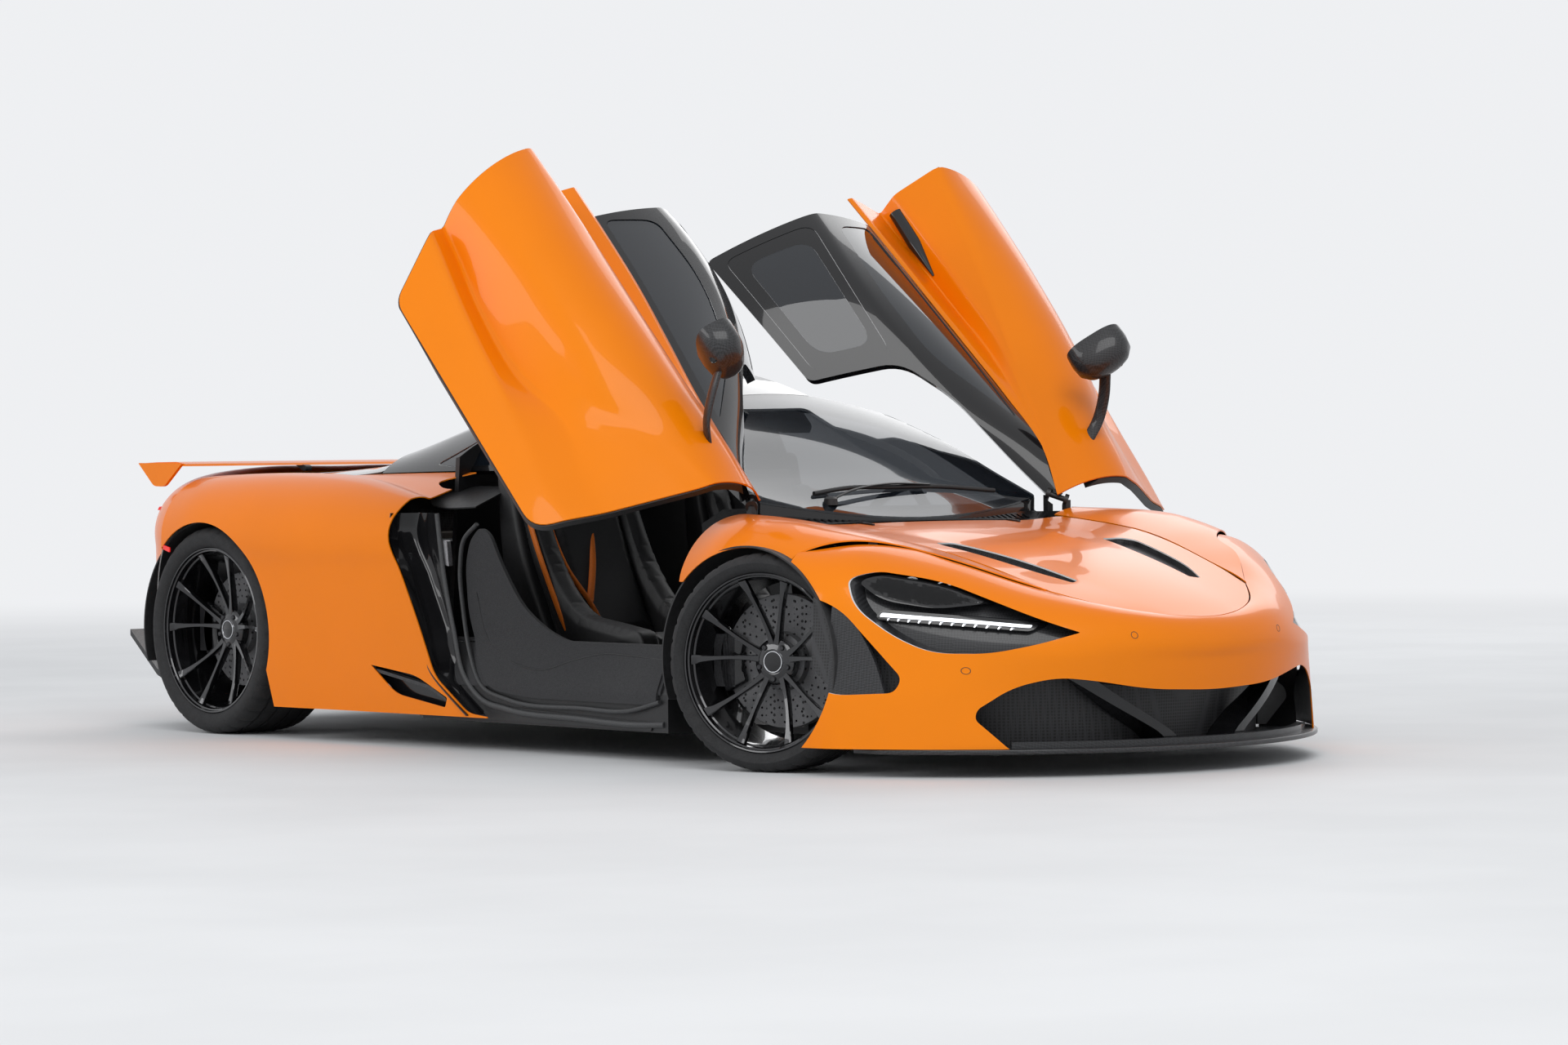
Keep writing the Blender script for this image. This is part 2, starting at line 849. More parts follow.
def across(key: float, u: float, v: float) -> tuple[float, float, float]:
    """Station at s with points (w, z)."""
    return u, key, v


def fanned(key: float, u: float, v: float) -> tuple[float, float, float]:
    """Station at an angle round the nose's centre with points (r, z)."""
    turn = math.radians(key)
    return u * math.sin(turn), NOSE_CENTRE - u * math.cos(turn), v


def fanned_back(key: float, u: float, v: float) -> tuple[float, float, float]:
    """Station at an angle round the tail's centre with points (r, z)."""
    turn = math.radians(key)
    return u * math.sin(turn), TAIL_CENTRE + u * math.cos(turn), v


def upright(key: float, u: float, v: float) -> tuple[float, float, float]:
    """Station at a height with points (w, s)."""
    return u, v, key


def both_ways(rows: Sequence[Row]) -> list[Row]:
    """Rows by angle from the middle out, with their mirror images before them."""
    return [(-row[0], row[1]) for row in rows[:0:-1]] + list(rows)


@dataclass
class Skin:
    """A bent sheet through stations, from which panels are cut."""

    stations: Sequence[Row]
    kinds: str
    wall: float
    place: Callable[[float, float, float], tuple[float, float, float]] = across
    along: int = 80
    fine: int = 12
    soft: int = 2

    def grid(self) -> np.ndarray:
        """Sample the sheet's outer face as a grid of points.

        Returns:
            The points in millimetres, first axis by station.
        """
        keys = [row[0] for row in self.stations]
        values = np.stack([profile(row[1], self.kinds, self.fine, self.soft) for row in self.stations])
        wanted = np.linspace(keys[0], keys[-1], self.along)
        lines = through(keys, values, wanted)
        return np.array([[self.place(key, u, v) for u, v in line] for key, line in zip(wanted, lines)])

    @staticmethod
    def normals(grid: np.ndarray) -> np.ndarray:
        """Unit normals of a grid, pointing away from the car's core.

        Args:
            grid: The points.

        Returns:
            One normal for each point.
        """
        normal = np.cross(np.gradient(grid, axis=0), np.gradient(grid, axis=1))
        normal /= np.maximum(np.linalg.norm(normal, axis=2, keepdims=True), 1e-9)
        core = np.stack([np.zeros(grid.shape[:2]), np.clip(grid[..., 1], 1150.0, 3650.0),
                         np.full(grid.shape[:2], 380.0)], 2)
        way = np.sum(normal * (grid - core))
        return normal * (1.0 if way > 0 else -1.0)

    def solid(self, name: str, *finishes: Finish, inset: float = 0.0,
              wall: float | None = None) -> bpy.types.Object:
        """Make the sheet as a closed solid.

        Args:
            name: The object's name.
            finishes: Its outer finish, then its inner one if it differs.
            inset: How far the outer face lies inside the body's surface.
            wall: Thickness, if not the sheet's own.

        Returns:
            The solid.
        """
        grid = self.grid()
        normal = self.normals(grid)
        thick = self.wall if wall is None else wall
        faces_at = [grid - normal * inset, grid - normal * (inset + thick)]
        rows, columns = grid.shape[:2]
        points = [at(*p) for layer in faces_at for line in layer for p in line]

        def number(layer: int, i: int, j: int) -> int:
            """Number of the point at row i and column j."""
            return layer * rows * columns + i * columns + j

        faces, inner = [], []
        for i in range(rows - 1):
            for j in range(columns - 1):
                faces.append([number(0, i, j), number(0, i + 1, j), number(0, i + 1, j + 1),
                              number(0, i, j + 1)])
                inner.append([number(1, i, j), number(1, i, j + 1), number(1, i + 1, j + 1),
                              number(1, i + 1, j)])
        rim = []
        for i in range(rows - 1):
            for j in (0, columns - 1):
                rim.append([number(0, i, j), number(0, i + 1, j), number(1, i + 1, j), number(1, i, j)])
        for j in range(columns - 1):
            for i in (0, rows - 1):
                rim.append([number(0, i, j), number(0, i, j + 1), number(1, i, j + 1), number(1, i, j)])
        made = new_object(name, points, faces + inner + rim, *finishes)
        if len(finishes) > 1:
            inside = set(range(rows * columns, 2 * rows * columns))
            for face in made.data.polygons:
                if all(v in inside for v in face.vertices):
                    face.material_index = 1
        return made


def swollen(made: bpy.types.Object, cap: float, pressure: float = 4.0, frames: int = 12) -> bpy.types.Object:
    """Puff a closed form with simulated cloth under pressure.

    Args:
        cap: How far a point may move, in millimetres.
        pressure: The cloth's inner pressure.
        frames: How many steps the cloth runs.

    Returns:
        The same object, crowned.
    """
    remesh = made.modifiers.new("remesh", "REMESH")
    remesh.mode = "VOXEL"
    remesh.voxel_size = 0.006
    apply_modifiers(made)
    count = len(made.data.vertices)
    start = np.empty(count * 3)
    made.data.vertices.foreach_get("co", start)
    cloth = made.modifiers.new("cloth", "CLOTH")
    cloth.settings.use_pressure = True
    cloth.settings.uniform_pressure_force = pressure
    cloth.settings.effector_weights.gravity = 0.0
    for frame in range(1, frames + 1):
        bpy.context.scene.frame_set(frame)
    evaluated = made.evaluated_get(bpy.context.evaluated_depsgraph_get()).to_mesh()
    puffed = np.empty(count * 3)
    evaluated.vertices.foreach_get("co", puffed)
    made.modifiers.remove(cloth)
    bpy.context.scene.frame_set(1)
    move = (puffed - start).reshape(-1, 3)
    length = np.linalg.norm(move, axis=1, keepdims=True)
    move *= np.minimum(1.0, cap / 1000.0 / np.maximum(length, 1e-9))
    made.data.vertices.foreach_set("co", (start.reshape(-1, 3) + move).ravel())
    made.data.update()
    return made


def ring_solid(name: str, line: Sequence[Point2], finish: Finish, segments: int = 96) -> bpy.types.Object:
    """Turn a closed line of (r, x) about the X axis at the origin.

    Args:
        name: The object's name.
        line: The closed line, in millimetres.
        finish: Its finish.
        segments: Steps round the axis.

    Returns:
        The turned ring.
    """
    points = []
    for i in range(segments):
        turn = 2.0 * math.pi * i / segments
        points += [Vector((x, r * math.cos(turn), r * math.sin(turn))) * MM for r, x in line]
    return new_object(name, points, ring_faces(segments, len(line)), finish)


def tube(name: str, path: Sequence[Sequence[float]], radius: float, finish: Finish, flat: float = 1.0,
         sides: int = 12, closed: bool = False, swell: Sequence[float] = (1.0, 1.0, 1.0)) -> bpy.types.Object:
    """Sweep a round or flattened section along a path of (w, s, z).

    Args:
        name: The object's name.
        path: Points of the path in millimetres.
        radius: Radius of the section in millimetres.
        finish: Its finish.
        flat: Height of the section over its width.
        sides: Points round the section.
        closed: Whether the path comes back to its start.
        swell: Factors on the radius at the start, middle and end.

    Returns:
        The tube.
    """
    spots = np.array(path, float)
    count = len(spots)
    if closed:
        direction = np.roll(spots, -1, 0) - np.roll(spots, 1, 0)
    else:
        direction = np.gradient(spots, axis=0)
    direction /= np.linalg.norm(direction, axis=1, keepdims=True)
    up = np.array((0.0, 0.0, 1.0)) if abs(direction[0][2]) < 0.9 else np.array((1.0, 0.0, 0.0))
    factors = np.interp(np.linspace(0.0, 1.0, count), (0.0, 0.5, 1.0), swell)
    points = []
    for spot, way, factor in zip(spots, direction, factors):
        side = np.cross(way, up)
        side /= np.linalg.norm(side)
        up = np.cross(side, way)
        for k in range(sides):
            turn = 2.0 * math.pi * k / sides
            reach = math.cos(turn) * side + flat * math.sin(turn) * up
            points.append(at(*(spot + radius * factor * reach)))
    return smooth(new_object(name, points, ring_faces(count, sides, closed), finish), 50.0)


def curve_through(spots: Sequence[Sequence[float]], count: int) -> np.ndarray:
    """Smooth curve through points of (w, s, z).

    Args:
        spots: The points.
        count: How many samples.

    Returns:
        The samples as rows.
    """
    points = np.array(spots, float)
    keys = np.concatenate([[0.0], np.cumsum(np.linalg.norm(np.diff(points, axis=0), axis=1))])
    return through(keys, points[:, None, :], np.linspace(0.0, keys[-1], count))[:, 0, :]


def door_opening() -> Matrix:
    """The turn that takes the closed left door to where it stands open."""
    return about(at(*HINGE_POINT), turned(-DOOR_OPEN_ANGLE, Vector(HINGE_DIRECTION).normalized()))


def hand_over(made: bpy.types.Object, body: str, slot: str, *nodes: str) -> bpy.types.Object:
    """Put a finished piece on its body.

    Args:
        made: The piece.
        body: The body that it moves with.
        slot: The record's slot of its finish.
        nodes: The nodes of the part that it stands for.

    Returns:
        The piece.
    """
    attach(made, body)
    if nodes:
        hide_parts(*nodes)
    LOG.info("%s: %d faces", made.name, len(made.data.polygons))
    return made


def pair(left: bpy.types.Object, slot: str, node: str = "") -> None:
    """Put a finished left piece and its mirror image on the chassis.

    Args:
        left: The left piece.
        slot: The record's slot of its finish.
        node: Name of the part's nodes that both stand for, without their side.
    """
    right = mirrored(left, left.name.removesuffix("_left") + "_right")
    for side, made in ((Side.LEFT, left), (Side.RIGHT, right)):
        hand_over(made, "chassis", slot, *([node + "_" + side.word] if node else []))


# Panels of the nose


@dataclass
class Nose:
    """The painted nose with its lamps, side intakes, mouth and splitter."""

    stations: tuple[Row, ...] = (
        (0.0, ((898, 431), (926, 408), (930, 320), (915, 222), (925, 80.5))),
        (18.0, ((850, 461), (934, 404), (940, 330), (925, 228), (935, 80.5))),
        (34.0, ((770, 519), (915, 425), (945, 340), (935, 240), (955, 80.5))),
        (50.0, ((742, 588), (890, 490), (945, 370), (958, 230), (965, 80.5))),
        (62.0, ((722, 630), (880, 555), (955, 400), (972, 234), (975, 80.5))),
        (71.0, ((782, 642), (905, 585), (972, 440), (992, 234), (990, 80.5))),
        (80.0, ((895, 622), (940, 585), (960, 480), (968, 300), (965, 80.5))),
    )
    lamp: Corners = (
        (304, 398, 5), (470, 480, 90), (610, 543, 90), (745, 571, 40), (792, 552, 26), (745, 468, 60),
        (650, 392, 60), (560, 345, 60), (440, 343, 80), (358, 368, 40))
    lens: Corners = (
        (508, 482, 10), (600, 526, 40), (735, 558, 16), (768, 543, 14), (700, 494, 40), (580, 470, 30))
    bar: Corners = (
        (404, 419, 2), (520, 436, 60), (700, 456, 3), (703, 446, 3), (520, 427, 60), (404, 412, 2))
    ticks: int = 12
    side_intake: Corners = (
        (908, 512, 26), (782, 474, 60), (620, 277, 26), (635, 236, 20), (800, 228, 60), (905, 300, 40))
    mouth: Corners = (
        (600, 60, 2), (626, 84, 8), (690, 162, 16), (684, 190, 16), (604, 250, 60), (500, 276, 60),
        (400, 264, 60), (240, 236, 80), (0, 226, 80))
    sensors: tuple[Point2, ...] = ((294, 388), (701, 297))
    blade: Corners = (
        (776, 490, 6), (806, 490, 6), (800, 215, 6), (655, 215, 6), (690, 330, 60))

    def skin(self) -> Skin:
        """The nose's whole sheet."""
        return Skin(both_ways(self.stations), "ALL", 4.0, fanned, 200, 14, 3)

    def rim(self, gap: float, first: float, last: float) -> list[Point2]:
        """Rear edge of the nose in plan, moved back by a gap.

        Args:
            gap: How far behind the edge.
            first: First angle round the nose's centre in degrees.
            last: Last angle.

        Returns:
            The points as (w, s).
        """
        rows = both_ways(self.stations)
        radii = np.array([[[line[0][0]]] for _, line in rows], float)
        angles = np.linspace(first, last, 41)
        reach = through([angle for angle, _ in rows], radii, angles)[:, 0, 0] - gap
        turns = np.radians(angles)
        return [(r * math.sin(t), NOSE_CENTRE - r * math.cos(t)) for r, t in zip(reach, turns)]

    def side_cut(self, made: bpy.types.Object, outline: Sequence[Point2], low: float,
                 how: str = "DIFFERENCE") -> bpy.types.Object:
        """Cut an object through a side-view outline on both sides of the car.

        Args:
            made: The object.
            outline: The outline as (s, z).
            low: How far from the middle the cut starts.
            how: DIFFERENCE or INTERSECT.

        Returns:
            The cut object.
        """
        return cut(made, both_sides(prism(outline, low, 1100.0, "x")), how)

    def layer(self, name: str, finish: Finish, inset: float, wall: float,
              outline: Sequence[Point2]) -> bpy.types.Object:
        """Make a layer of the nose's sheet within a side-view outline on both sides of the car.

        Args:
            name: The object's name.
            finish: Its finish.
            inset: How far its outer face lies inside the paint.
            wall: Its thickness.
            outline: The outline as (s, z).

        Returns:
            The layer.
        """
        made = self.skin().solid(name, finish, inset=inset, wall=wall)
        return self.side_cut(made, outline, 400.0, "INTERSECT")

    def mouth_outline(self, margin: float) -> list[Point2]:
        """Outline of the mouth from the front, moved out by a margin."""
        half = list(self.mouth)
        other = [(-w, z, r) for w, z, r in half[-2::-1]]
        return grown(rounded(half + other), margin)

    def bumper(self) -> bpy.types.Object:
        """Build the painted nose.

        Returns:
            The nose's skin.
        """
        made = self.skin().solid("front_bumper_skin", Finish.ORANGE, Finish.SATIN_BLACK)
        cut(made, prism(self.mouth_outline(0.0), *THROUGH_NOSE))
        self.side_cut(made, rounded(self.lamp), 370.0)
        self.side_cut(made, rounded(self.side_intake), 690.0)
        self.side_cut(made, ellipse(*FRONT_ARCH), 560.0)
        return hand_over(smooth(made), "chassis", "paint", "front_bumper")

    def lamps(self) -> None:
        """Build both lamp units: woven socket, projectors, clear lens and light guide."""
        skin = self.skin()
        outline = rounded(self.lamp)
        bowl = skin.solid("bowl", Finish.CARBON, inset=4.3, wall=47.0)
        self.side_cut(bowl, grown(outline, 10.0), 330.0, "INTERSECT")
        inner = skin.solid("inner", Finish.CARBON, inset=-6.0, wall=44.0)
        self.side_cut(inner, outline, 330.0, "INTERSECT")
        cut(bowl, inner)
        cut(bowl, prism(Bonnet().outline(4.0), *THROUGH_LID))
        hand_over(smooth(bowl), "chassis", "lamp", "headlamps").name = "lamp_sockets"
        lens, bar = rounded(self.lens), rounded(self.bar)
        hand_over(smooth(self.layer("lamp_lenses", Finish.LENS, 10.0, 4.0, lens)), "chassis", "glass")
        tray = self.layer("lamp_trays", Finish.GLOSS_BLACK, 33.0, 6.0, grown(lens, -4.0))
        hand_over(smooth(tray), "chassis", "lamp")
        rims = self.layer("lamp_rims", Finish.GLOSS_BLACK, 9.0, 27.0, grown(lens, 4.0))
        self.side_cut(rims, grown(lens, -3.0), 400.0)
        hand_over(smooth(rims), "chassis", "lamp")
        hand_over(smooth(self.layer("light_guides", Finish.LAMP_WHITE, 20.0, 9.0, bar)), "chassis", "lamp")
        holder = self.layer("light_guide_holders", Finish.GLOSS_BLACK, 23.0, 26.0, grown(bar, 9.0))
        hand_over(smooth(holder), "chassis", "lamp")
        teeth = skin.solid("light_guide_teeth", Finish.SILVER, inset=19.0, wall=9.0)
        combs = []
        for s in np.linspace(430.0, 680.0, self.ticks):
            z = float(np.interp(s, (404.0, 520.0, 703.0), (412.0, 427.0, 446.0)))
            row = prism(((s, z - 9), (s + 3, z - 9), (s + 3, z - 2), (s, z - 2)), 400.0, 1100.0, "x")
            combs += [row, mirrored(row, "tool")]
        cut(teeth, joined(combs, "tool"), "INTERSECT")
        hand_over(teeth, "chassis", "lamp")
        self.projectors()

    def projectors(self) -> None:
        """Build the three round projectors behind each lens."""
        parts = []
        for s, z, w, radius in ((600, 517, 676, 19.0), (668, 528, 733, 21.0), (728, 537, 778, 17.0)):
            line = [(0.1, 6.0), (radius * 0.5, 5.0), (radius * 0.85, 1.5), (radius, -3.0), (radius, -16.0),
                    (0.1, -16.0)]
            eye = ring_solid("eye", line, Finish.LENS, 40)
            cup_line = [(radius + 1, 0.0), (radius + 5, 1.0), (radius + 6, -16.0), (radius + 1, -16.0)]
            cup = ring_solid("cup", cup_line, Finish.SILVER, 40)
            one = joined([smooth(eye, 40.0), smooth(cup, 40.0)], "projector")
            one.data.transform(Matrix.Translation(at(w - 14, s + 14, z)) @ turned(-58.0, "Z"))
            parts.append(one)
        pair(joined(parts, "lamp_projectors_left"), "lamp")

    def blades(self) -> None:
        """Build the upright vane in each side intake and the dark duct behind it."""
        made = self.skin().solid("intake_vanes", Finish.CARBON, inset=4.3, wall=7.0)
        self.side_cut(made, rounded(self.blade), 690.0, "INTERSECT")
        hand_over(smooth(made), "chassis", "dark_trim", "intake_blades")
        duct = self.skin().solid("intake_ducts", Finish.MESH, inset=60.0, wall=4.0)
        self.side_cut(duct, grown(rounded(self.side_intake), 6.0), 600.0, "INTERSECT")
        hand_over(smooth(duct), "chassis", "dark_trim")

    def parking_sensors(self) -> None:
        """Build the fine rings round the four parking sensors."""
        rings = self.skin().solid("parking_sensors", Finish.SATIN_BLACK, inset=-0.5, wall=1.5)
        tools = []
        for w, z in self.sensors:
            for side in (-1.0, 1.0):
                turns = np.linspace(0.0, 2.0 * math.pi, 28, False)
                outer = [(w * side + 10.0 * math.cos(t), z + 10.0 * math.sin(t)) for t in turns]
                inner = [(w * side + 8.6 * math.cos(t), z + 8.6 * math.sin(t)) for t in turns]
                tools.append(cut(prism(outer, *THROUGH_NOSE), prism(inner, -120.0, 640.0, "y")))
        hand_over(cut(rings, joined(tools, "tool"), "INTERSECT"), "chassis", "dark_trim")

    def dress(self) -> None:
        """Build everything of the nose."""
        self.parking_sensors()
        self.bumper()
        self.lamps()
        self.blades()


@dataclass
class Splitter:
    """The woven blade under the nose, its lip, fences and the mouth's inner parts."""

    top: float = 80.0
    wall: float = 14.0
    reach: float = 972.0

    def rim(self, radius: float) -> list[Point2]:
        """Front edge of the blade in plan, from left to right."""
        turns = np.radians(np.linspace(62.0, -62.0, 121))
        return [(radius * math.sin(t), NOSE_CENTRE - radius * math.cos(t) * (1.0 + 0.003 * math.cos(3 * t)))
                for t in turns]

    def blade(self) -> bpy.types.Object:
        """Build the blade with a rounded lip.

        Returns:
            The blade.
        """
        rim = self.rim(self.reach)
        outline = rim + [(-rim[0][0] - 8, 770.0), (rim[0][0] + 8, 770.0)]
        made = prism(outline, self.top - self.wall, self.top, "z", "splitter_blade", Finish.CARBON)
        return hand_over(smooth(bevelled(made, 0.004, 3)), "chassis", "dark_trim", "splitter")

    def fences(self) -> bpy.types.Object:
        """Build the slanted brake-duct plates that stand in the mouth.

        Returns:
            The plates as one piece.
        """
        left = prism(rounded(((470, 290, 4), (404, 290, 30), (300, 214, 60), (130, 112, 40), (96, 76, 4),
                              (140, 76, 4), (176, 112, 40), (330, 198, 60))), 60.0, 360.0, "y", "plate",
                     Finish.GLOSS_BLACK)
        parts = both_sides(left, "mouth_plates")
        cut(parts, self.ring(892.0, 792.0, 50.0), "INTERSECT")
        cut(parts, prism(Nose().mouth_outline(3.0), *THROUGH_NOSE), "INTERSECT")
        return hand_over(smooth(parts), "chassis", "dark_trim")

    def ring(self, outer: float, inner: float, turn: float, low: float = 60.0, high: float = 330.0,
             finish: Finish = Finish.SATIN_BLACK) -> bpy.types.Object:
        """Upright wall between two radii of the nose, over an angle to each side.

        Args:
            outer: Outer radius.
            inner: Inner radius.
            turn: Angle to each side in degrees.
            low: Height of its foot.
            high: Height of its top.
            finish: Its finish.

        Returns:
            The wall.
        """
        turns = np.radians(np.linspace(-turn, turn, 61))
        outline = [(outer * math.sin(t), NOSE_CENTRE - outer * math.cos(t)) for t in turns]
        outline += [(inner * math.sin(t), NOSE_CENTRE - inner * math.cos(t)) for t in turns[::-1]]
        return prism(outline, low, high, "z", "mouth_duct", finish)

    def duct(self) -> bpy.types.Object:
        """Build the dark throat round the mouth.

        Returns:
            The throat with its woven lip and end caps.
        """
        nose = Nose()
        made = self.ring(910.0, 786.0, 54.0)
        cut(made, prism(nose.mouth_outline(13.0), *THROUGH_NOSE), "INTERSECT")
        cut(made, prism(nose.mouth_outline(4.0), *THROUGH_NOSE))
        lip = self.ring(934.0, 905.0, 40.0, 78.0, 98.0, Finish.CARBON)
        cut(lip, prism(nose.mouth_outline(-2.0), *THROUGH_NOSE), "INTERSECT")
        cap = prism(((606, 604), (704, 562), (714, 586), (614, 628)), 84.0, 300.0, "z", "cap",
                    Finish.SATIN_BLACK)
        parts = [smooth(made), smooth(lip), cap, mirrored(cap, "cap")]
        return hand_over(joined(parts, "mouth_throat"), "chassis", "dark_trim")

    def mouth(self) -> bpy.types.Object:
        """Build the mesh wall at the back of the mouth."""
        rows = tuple((angle, ((800, 300), (790, 80.5))) for angle in (0.0, 25.0, 50.0))
        made = Skin(both_ways(rows), "L", 12.0, fanned, 60, 12, 0).solid("mouth_mesh", Finish.MESH)
        return hand_over(smooth(made), "chassis", "dark_trim", "mouth_wall")

    def dress(self) -> None:
        """Build everything under the nose."""
        self.blade()
        self.fences()
        self.duct()
        self.mouth()


@dataclass
class Bonnet:
    """The front lid with its valleys and outlet vents."""

    stations: tuple[tuple[float, Point2, Point2, Point2], ...] = (
        (215, (0, 424), (120, 423), (330, 402)),
        (345, (0, 478), (170, 474), (400, 462)),
        (560, (0, 553), (230, 545), (470, 545)),
        (870, (0, 630), (300, 622), (510, 634)),
        (1160, (0, 676), (360, 668), (570, 678)),
        (1420, (0, 700), (400, 694), (620, 704)),
    )
    edge: Corners = (
        (401, 458, 2), (424, 560, 60), (448, 690, 60), (497, 900, 80), (540, 1060, 80), (560, 1380, 30))
    vent: Corners = (
        (228, 520, 10), (262, 505, 12), (324, 620, 60), (396, 900, 30), (378, 944, 18), (306, 952, 20),
        (262, 760, 90))

    def line(self, row: tuple[float, Point2, Point2, Point2]) -> tuple[Point2, ...]:
        """One whole section from the right edge to the left one."""
        _, crown, valley, edge = row
        return ((-edge[0], edge[1]), (-valley[0], valley[1]), crown, valley, edge)

    def outline(self, margin: float) -> list[Point2]:
        """The lid's outline in plan, grown by a margin.

        Args:
            margin: How far it is grown, in millimetres.

        Returns:
            The points as (w, s).
        """
        left = [(w, s, r) for w, s, r in self.edge]
        right = [(-w, s, r) for w, s, r in self.edge[::-1]]
        front = Nose().rim(3.0, -31.0, 31.0)[1:-1]
        ends = [np.array(spot) for spot in ((560.0, 1380.0), (0.0, 1335.0), (-560.0, 1380.0))]
        back = arc_through(*ends, 14)[1:]
        corners = left + [(p[0], p[1], 0.0) for p in back] + right + [(p[0], p[1], 0.0) for p in front]
        return grown(rounded(corners), margin)

    def skin(self) -> Skin:
        """The lid's whole sheet."""
        return Skin([(row[0], self.line(row)) for row in self.stations], "LAL", 4.0, across, 120, 26, 14)

    def vent_tools(self, margin: float = 0.0) -> bpy.types.Object:
        """Tool through both vents, grown by a margin."""
        outlines = [rounded([(w * side, s, r) for w, s, r in self.vent]) for side in (-1.0, 1.0)]
        return joined([prism(grown(outline, margin), *THROUGH_LID) for outline in outlines], "tool")

    def dress(self) -> None:
        """Build the lid and what shows in its vents."""
        made = self.skin().solid("bonnet_lid", Finish.ORANGE, Finish.SATIN_BLACK)
        cut(made, prism(self.outline(-1.8), 200.0, 900.0, "z"), "INTERSECT")
        cut(made, self.vent_tools())
        hand_over(smooth(made), "bonnet", "paint", "bonnet")
        well = self.skin().solid("bonnet_vent_wells", Finish.CARBON, inset=4.2, wall=22.0)
        cut(well, self.vent_tools(9.0), "INTERSECT")
        hollow = self.skin().solid("hollow", Finish.CARBON, inset=-5.0, wall=24.0)
        cut(hollow, self.vent_tools(), "INTERSECT")
        cut(well, hollow)
        hand_over(smooth(well), "bonnet", "dark_trim")
        arms = [prism(((1290, 660), (1290, 690), (1338, 694), (1394, 682), (1394, 664), (1340, 656)),
                      w - 4, w + 4, "x", "arm", Finish.DARK_ALLOY) for w in (-300.0, 300.0)]
        hand_over(joined(arms, "bonnet_hinge_arms"), "bonnet", "arm_metal")


@dataclass
class Fender:
    """The painted front wings from the bonnet to the arch and back to the door."""

    stations: tuple[Row, ...] = (
        (440, ((345, 500), (395, 503), (440, 500), (520, 480), (600, 410), (640, 290))),
        (480, ((385, 519), (430, 521), (475, 518), (560, 500), (650, 440), (700, 300))),
        (600, ((425, 556), (520, 574), (600, 588), (700, 560), (800, 470), (850, 300))),
        (760, ((462, 604), (560, 620), (640, 630), (760, 604), (880, 480), (930, 300))),
        (880, ((500, 636), (590, 652), (690, 660), (820, 628), (925, 500), (955, 300))),
        (1000, ((530, 658), (630, 678), (730, 684), (860, 648), (945, 520), (962, 300))),
        (1127, ((556, 674), (660, 700), (745, 706), (880, 668), (958, 540), (965, 300))),
        (1280, ((566, 690), (670, 716), (745, 718), (880, 672), (955, 540), (962, 300))),
        (1436, ((580, 704), (660, 724), (725, 720), (850, 662), (930, 540), (940, 300))),
    )
    plan: Corners = (
        (980, 1012, 10), (980, 1436, 0), (668, 1436, 0), (668, 1422, 0), (566, 1422, 10), (566, 1380, 20),
        (546, 1060, 80), (503, 900, 80), (454, 690, 60), (430, 560, 60))

    def dress(self) -> None:
        """Build both front wings."""
        made = Skin(self.stations, "AAL", 4.0, across, 130, 14, 3).solid(
            "wing_front_left", Finish.ORANGE, Finish.SATIN_BLACK)
        corners = [(w, s, 0.0) for w, s in Nose().rim(1.0, 31.6, 80.0)] + list(self.plan)
        cut(made, prism(grown(rounded(corners), -1.5), 250.0, 900.0, "z"), "INTERSECT")
        cut(made, prism(ellipse(*FRONT_ARCH), *THROUGH_ARCH))
        cut(made, block(400, 1100, 900, 1500, 0, 534))
        pair(smooth(made), "paint", "fender")


@dataclass
class ArchLiner:
    """Dark liners in the wheel arches."""

    wheels: tuple[tuple[str, float, float, float, float, float, float], ...] = (
        ("front", 1150.0, 310.0, 372.0, 330.0, 640.0, 925.0),
        ("rear", 3809.0, 338.0, 382.0, 358.0, 560.0, 930.0))

    def dress(self) -> None:
        """Build all four liners."""
        for name, s, z, long, high, low, top in self.wheels:
            outer = [p for p in ellipse(s, z, long, high, 120) if p[1] > z - 120.0]
            outer.sort(key=lambda p: math.atan2(p[1] - z, p[0] - s) if p[1] > z or p[0] > s
                       else math.atan2(p[1] - z, p[0] - s) + 2 * math.pi)
            inner = [(s + (p[0] - s) * 0.985, z + (p[1] - z) * 0.985) for p in outer]
            made = prism(outer + inner[::-1], low, top, "x", "arch_liner_" + name + "_left", Finish.UNDERTRAY)
            pair(smooth(made), "dark_trim")


# The glasshouse


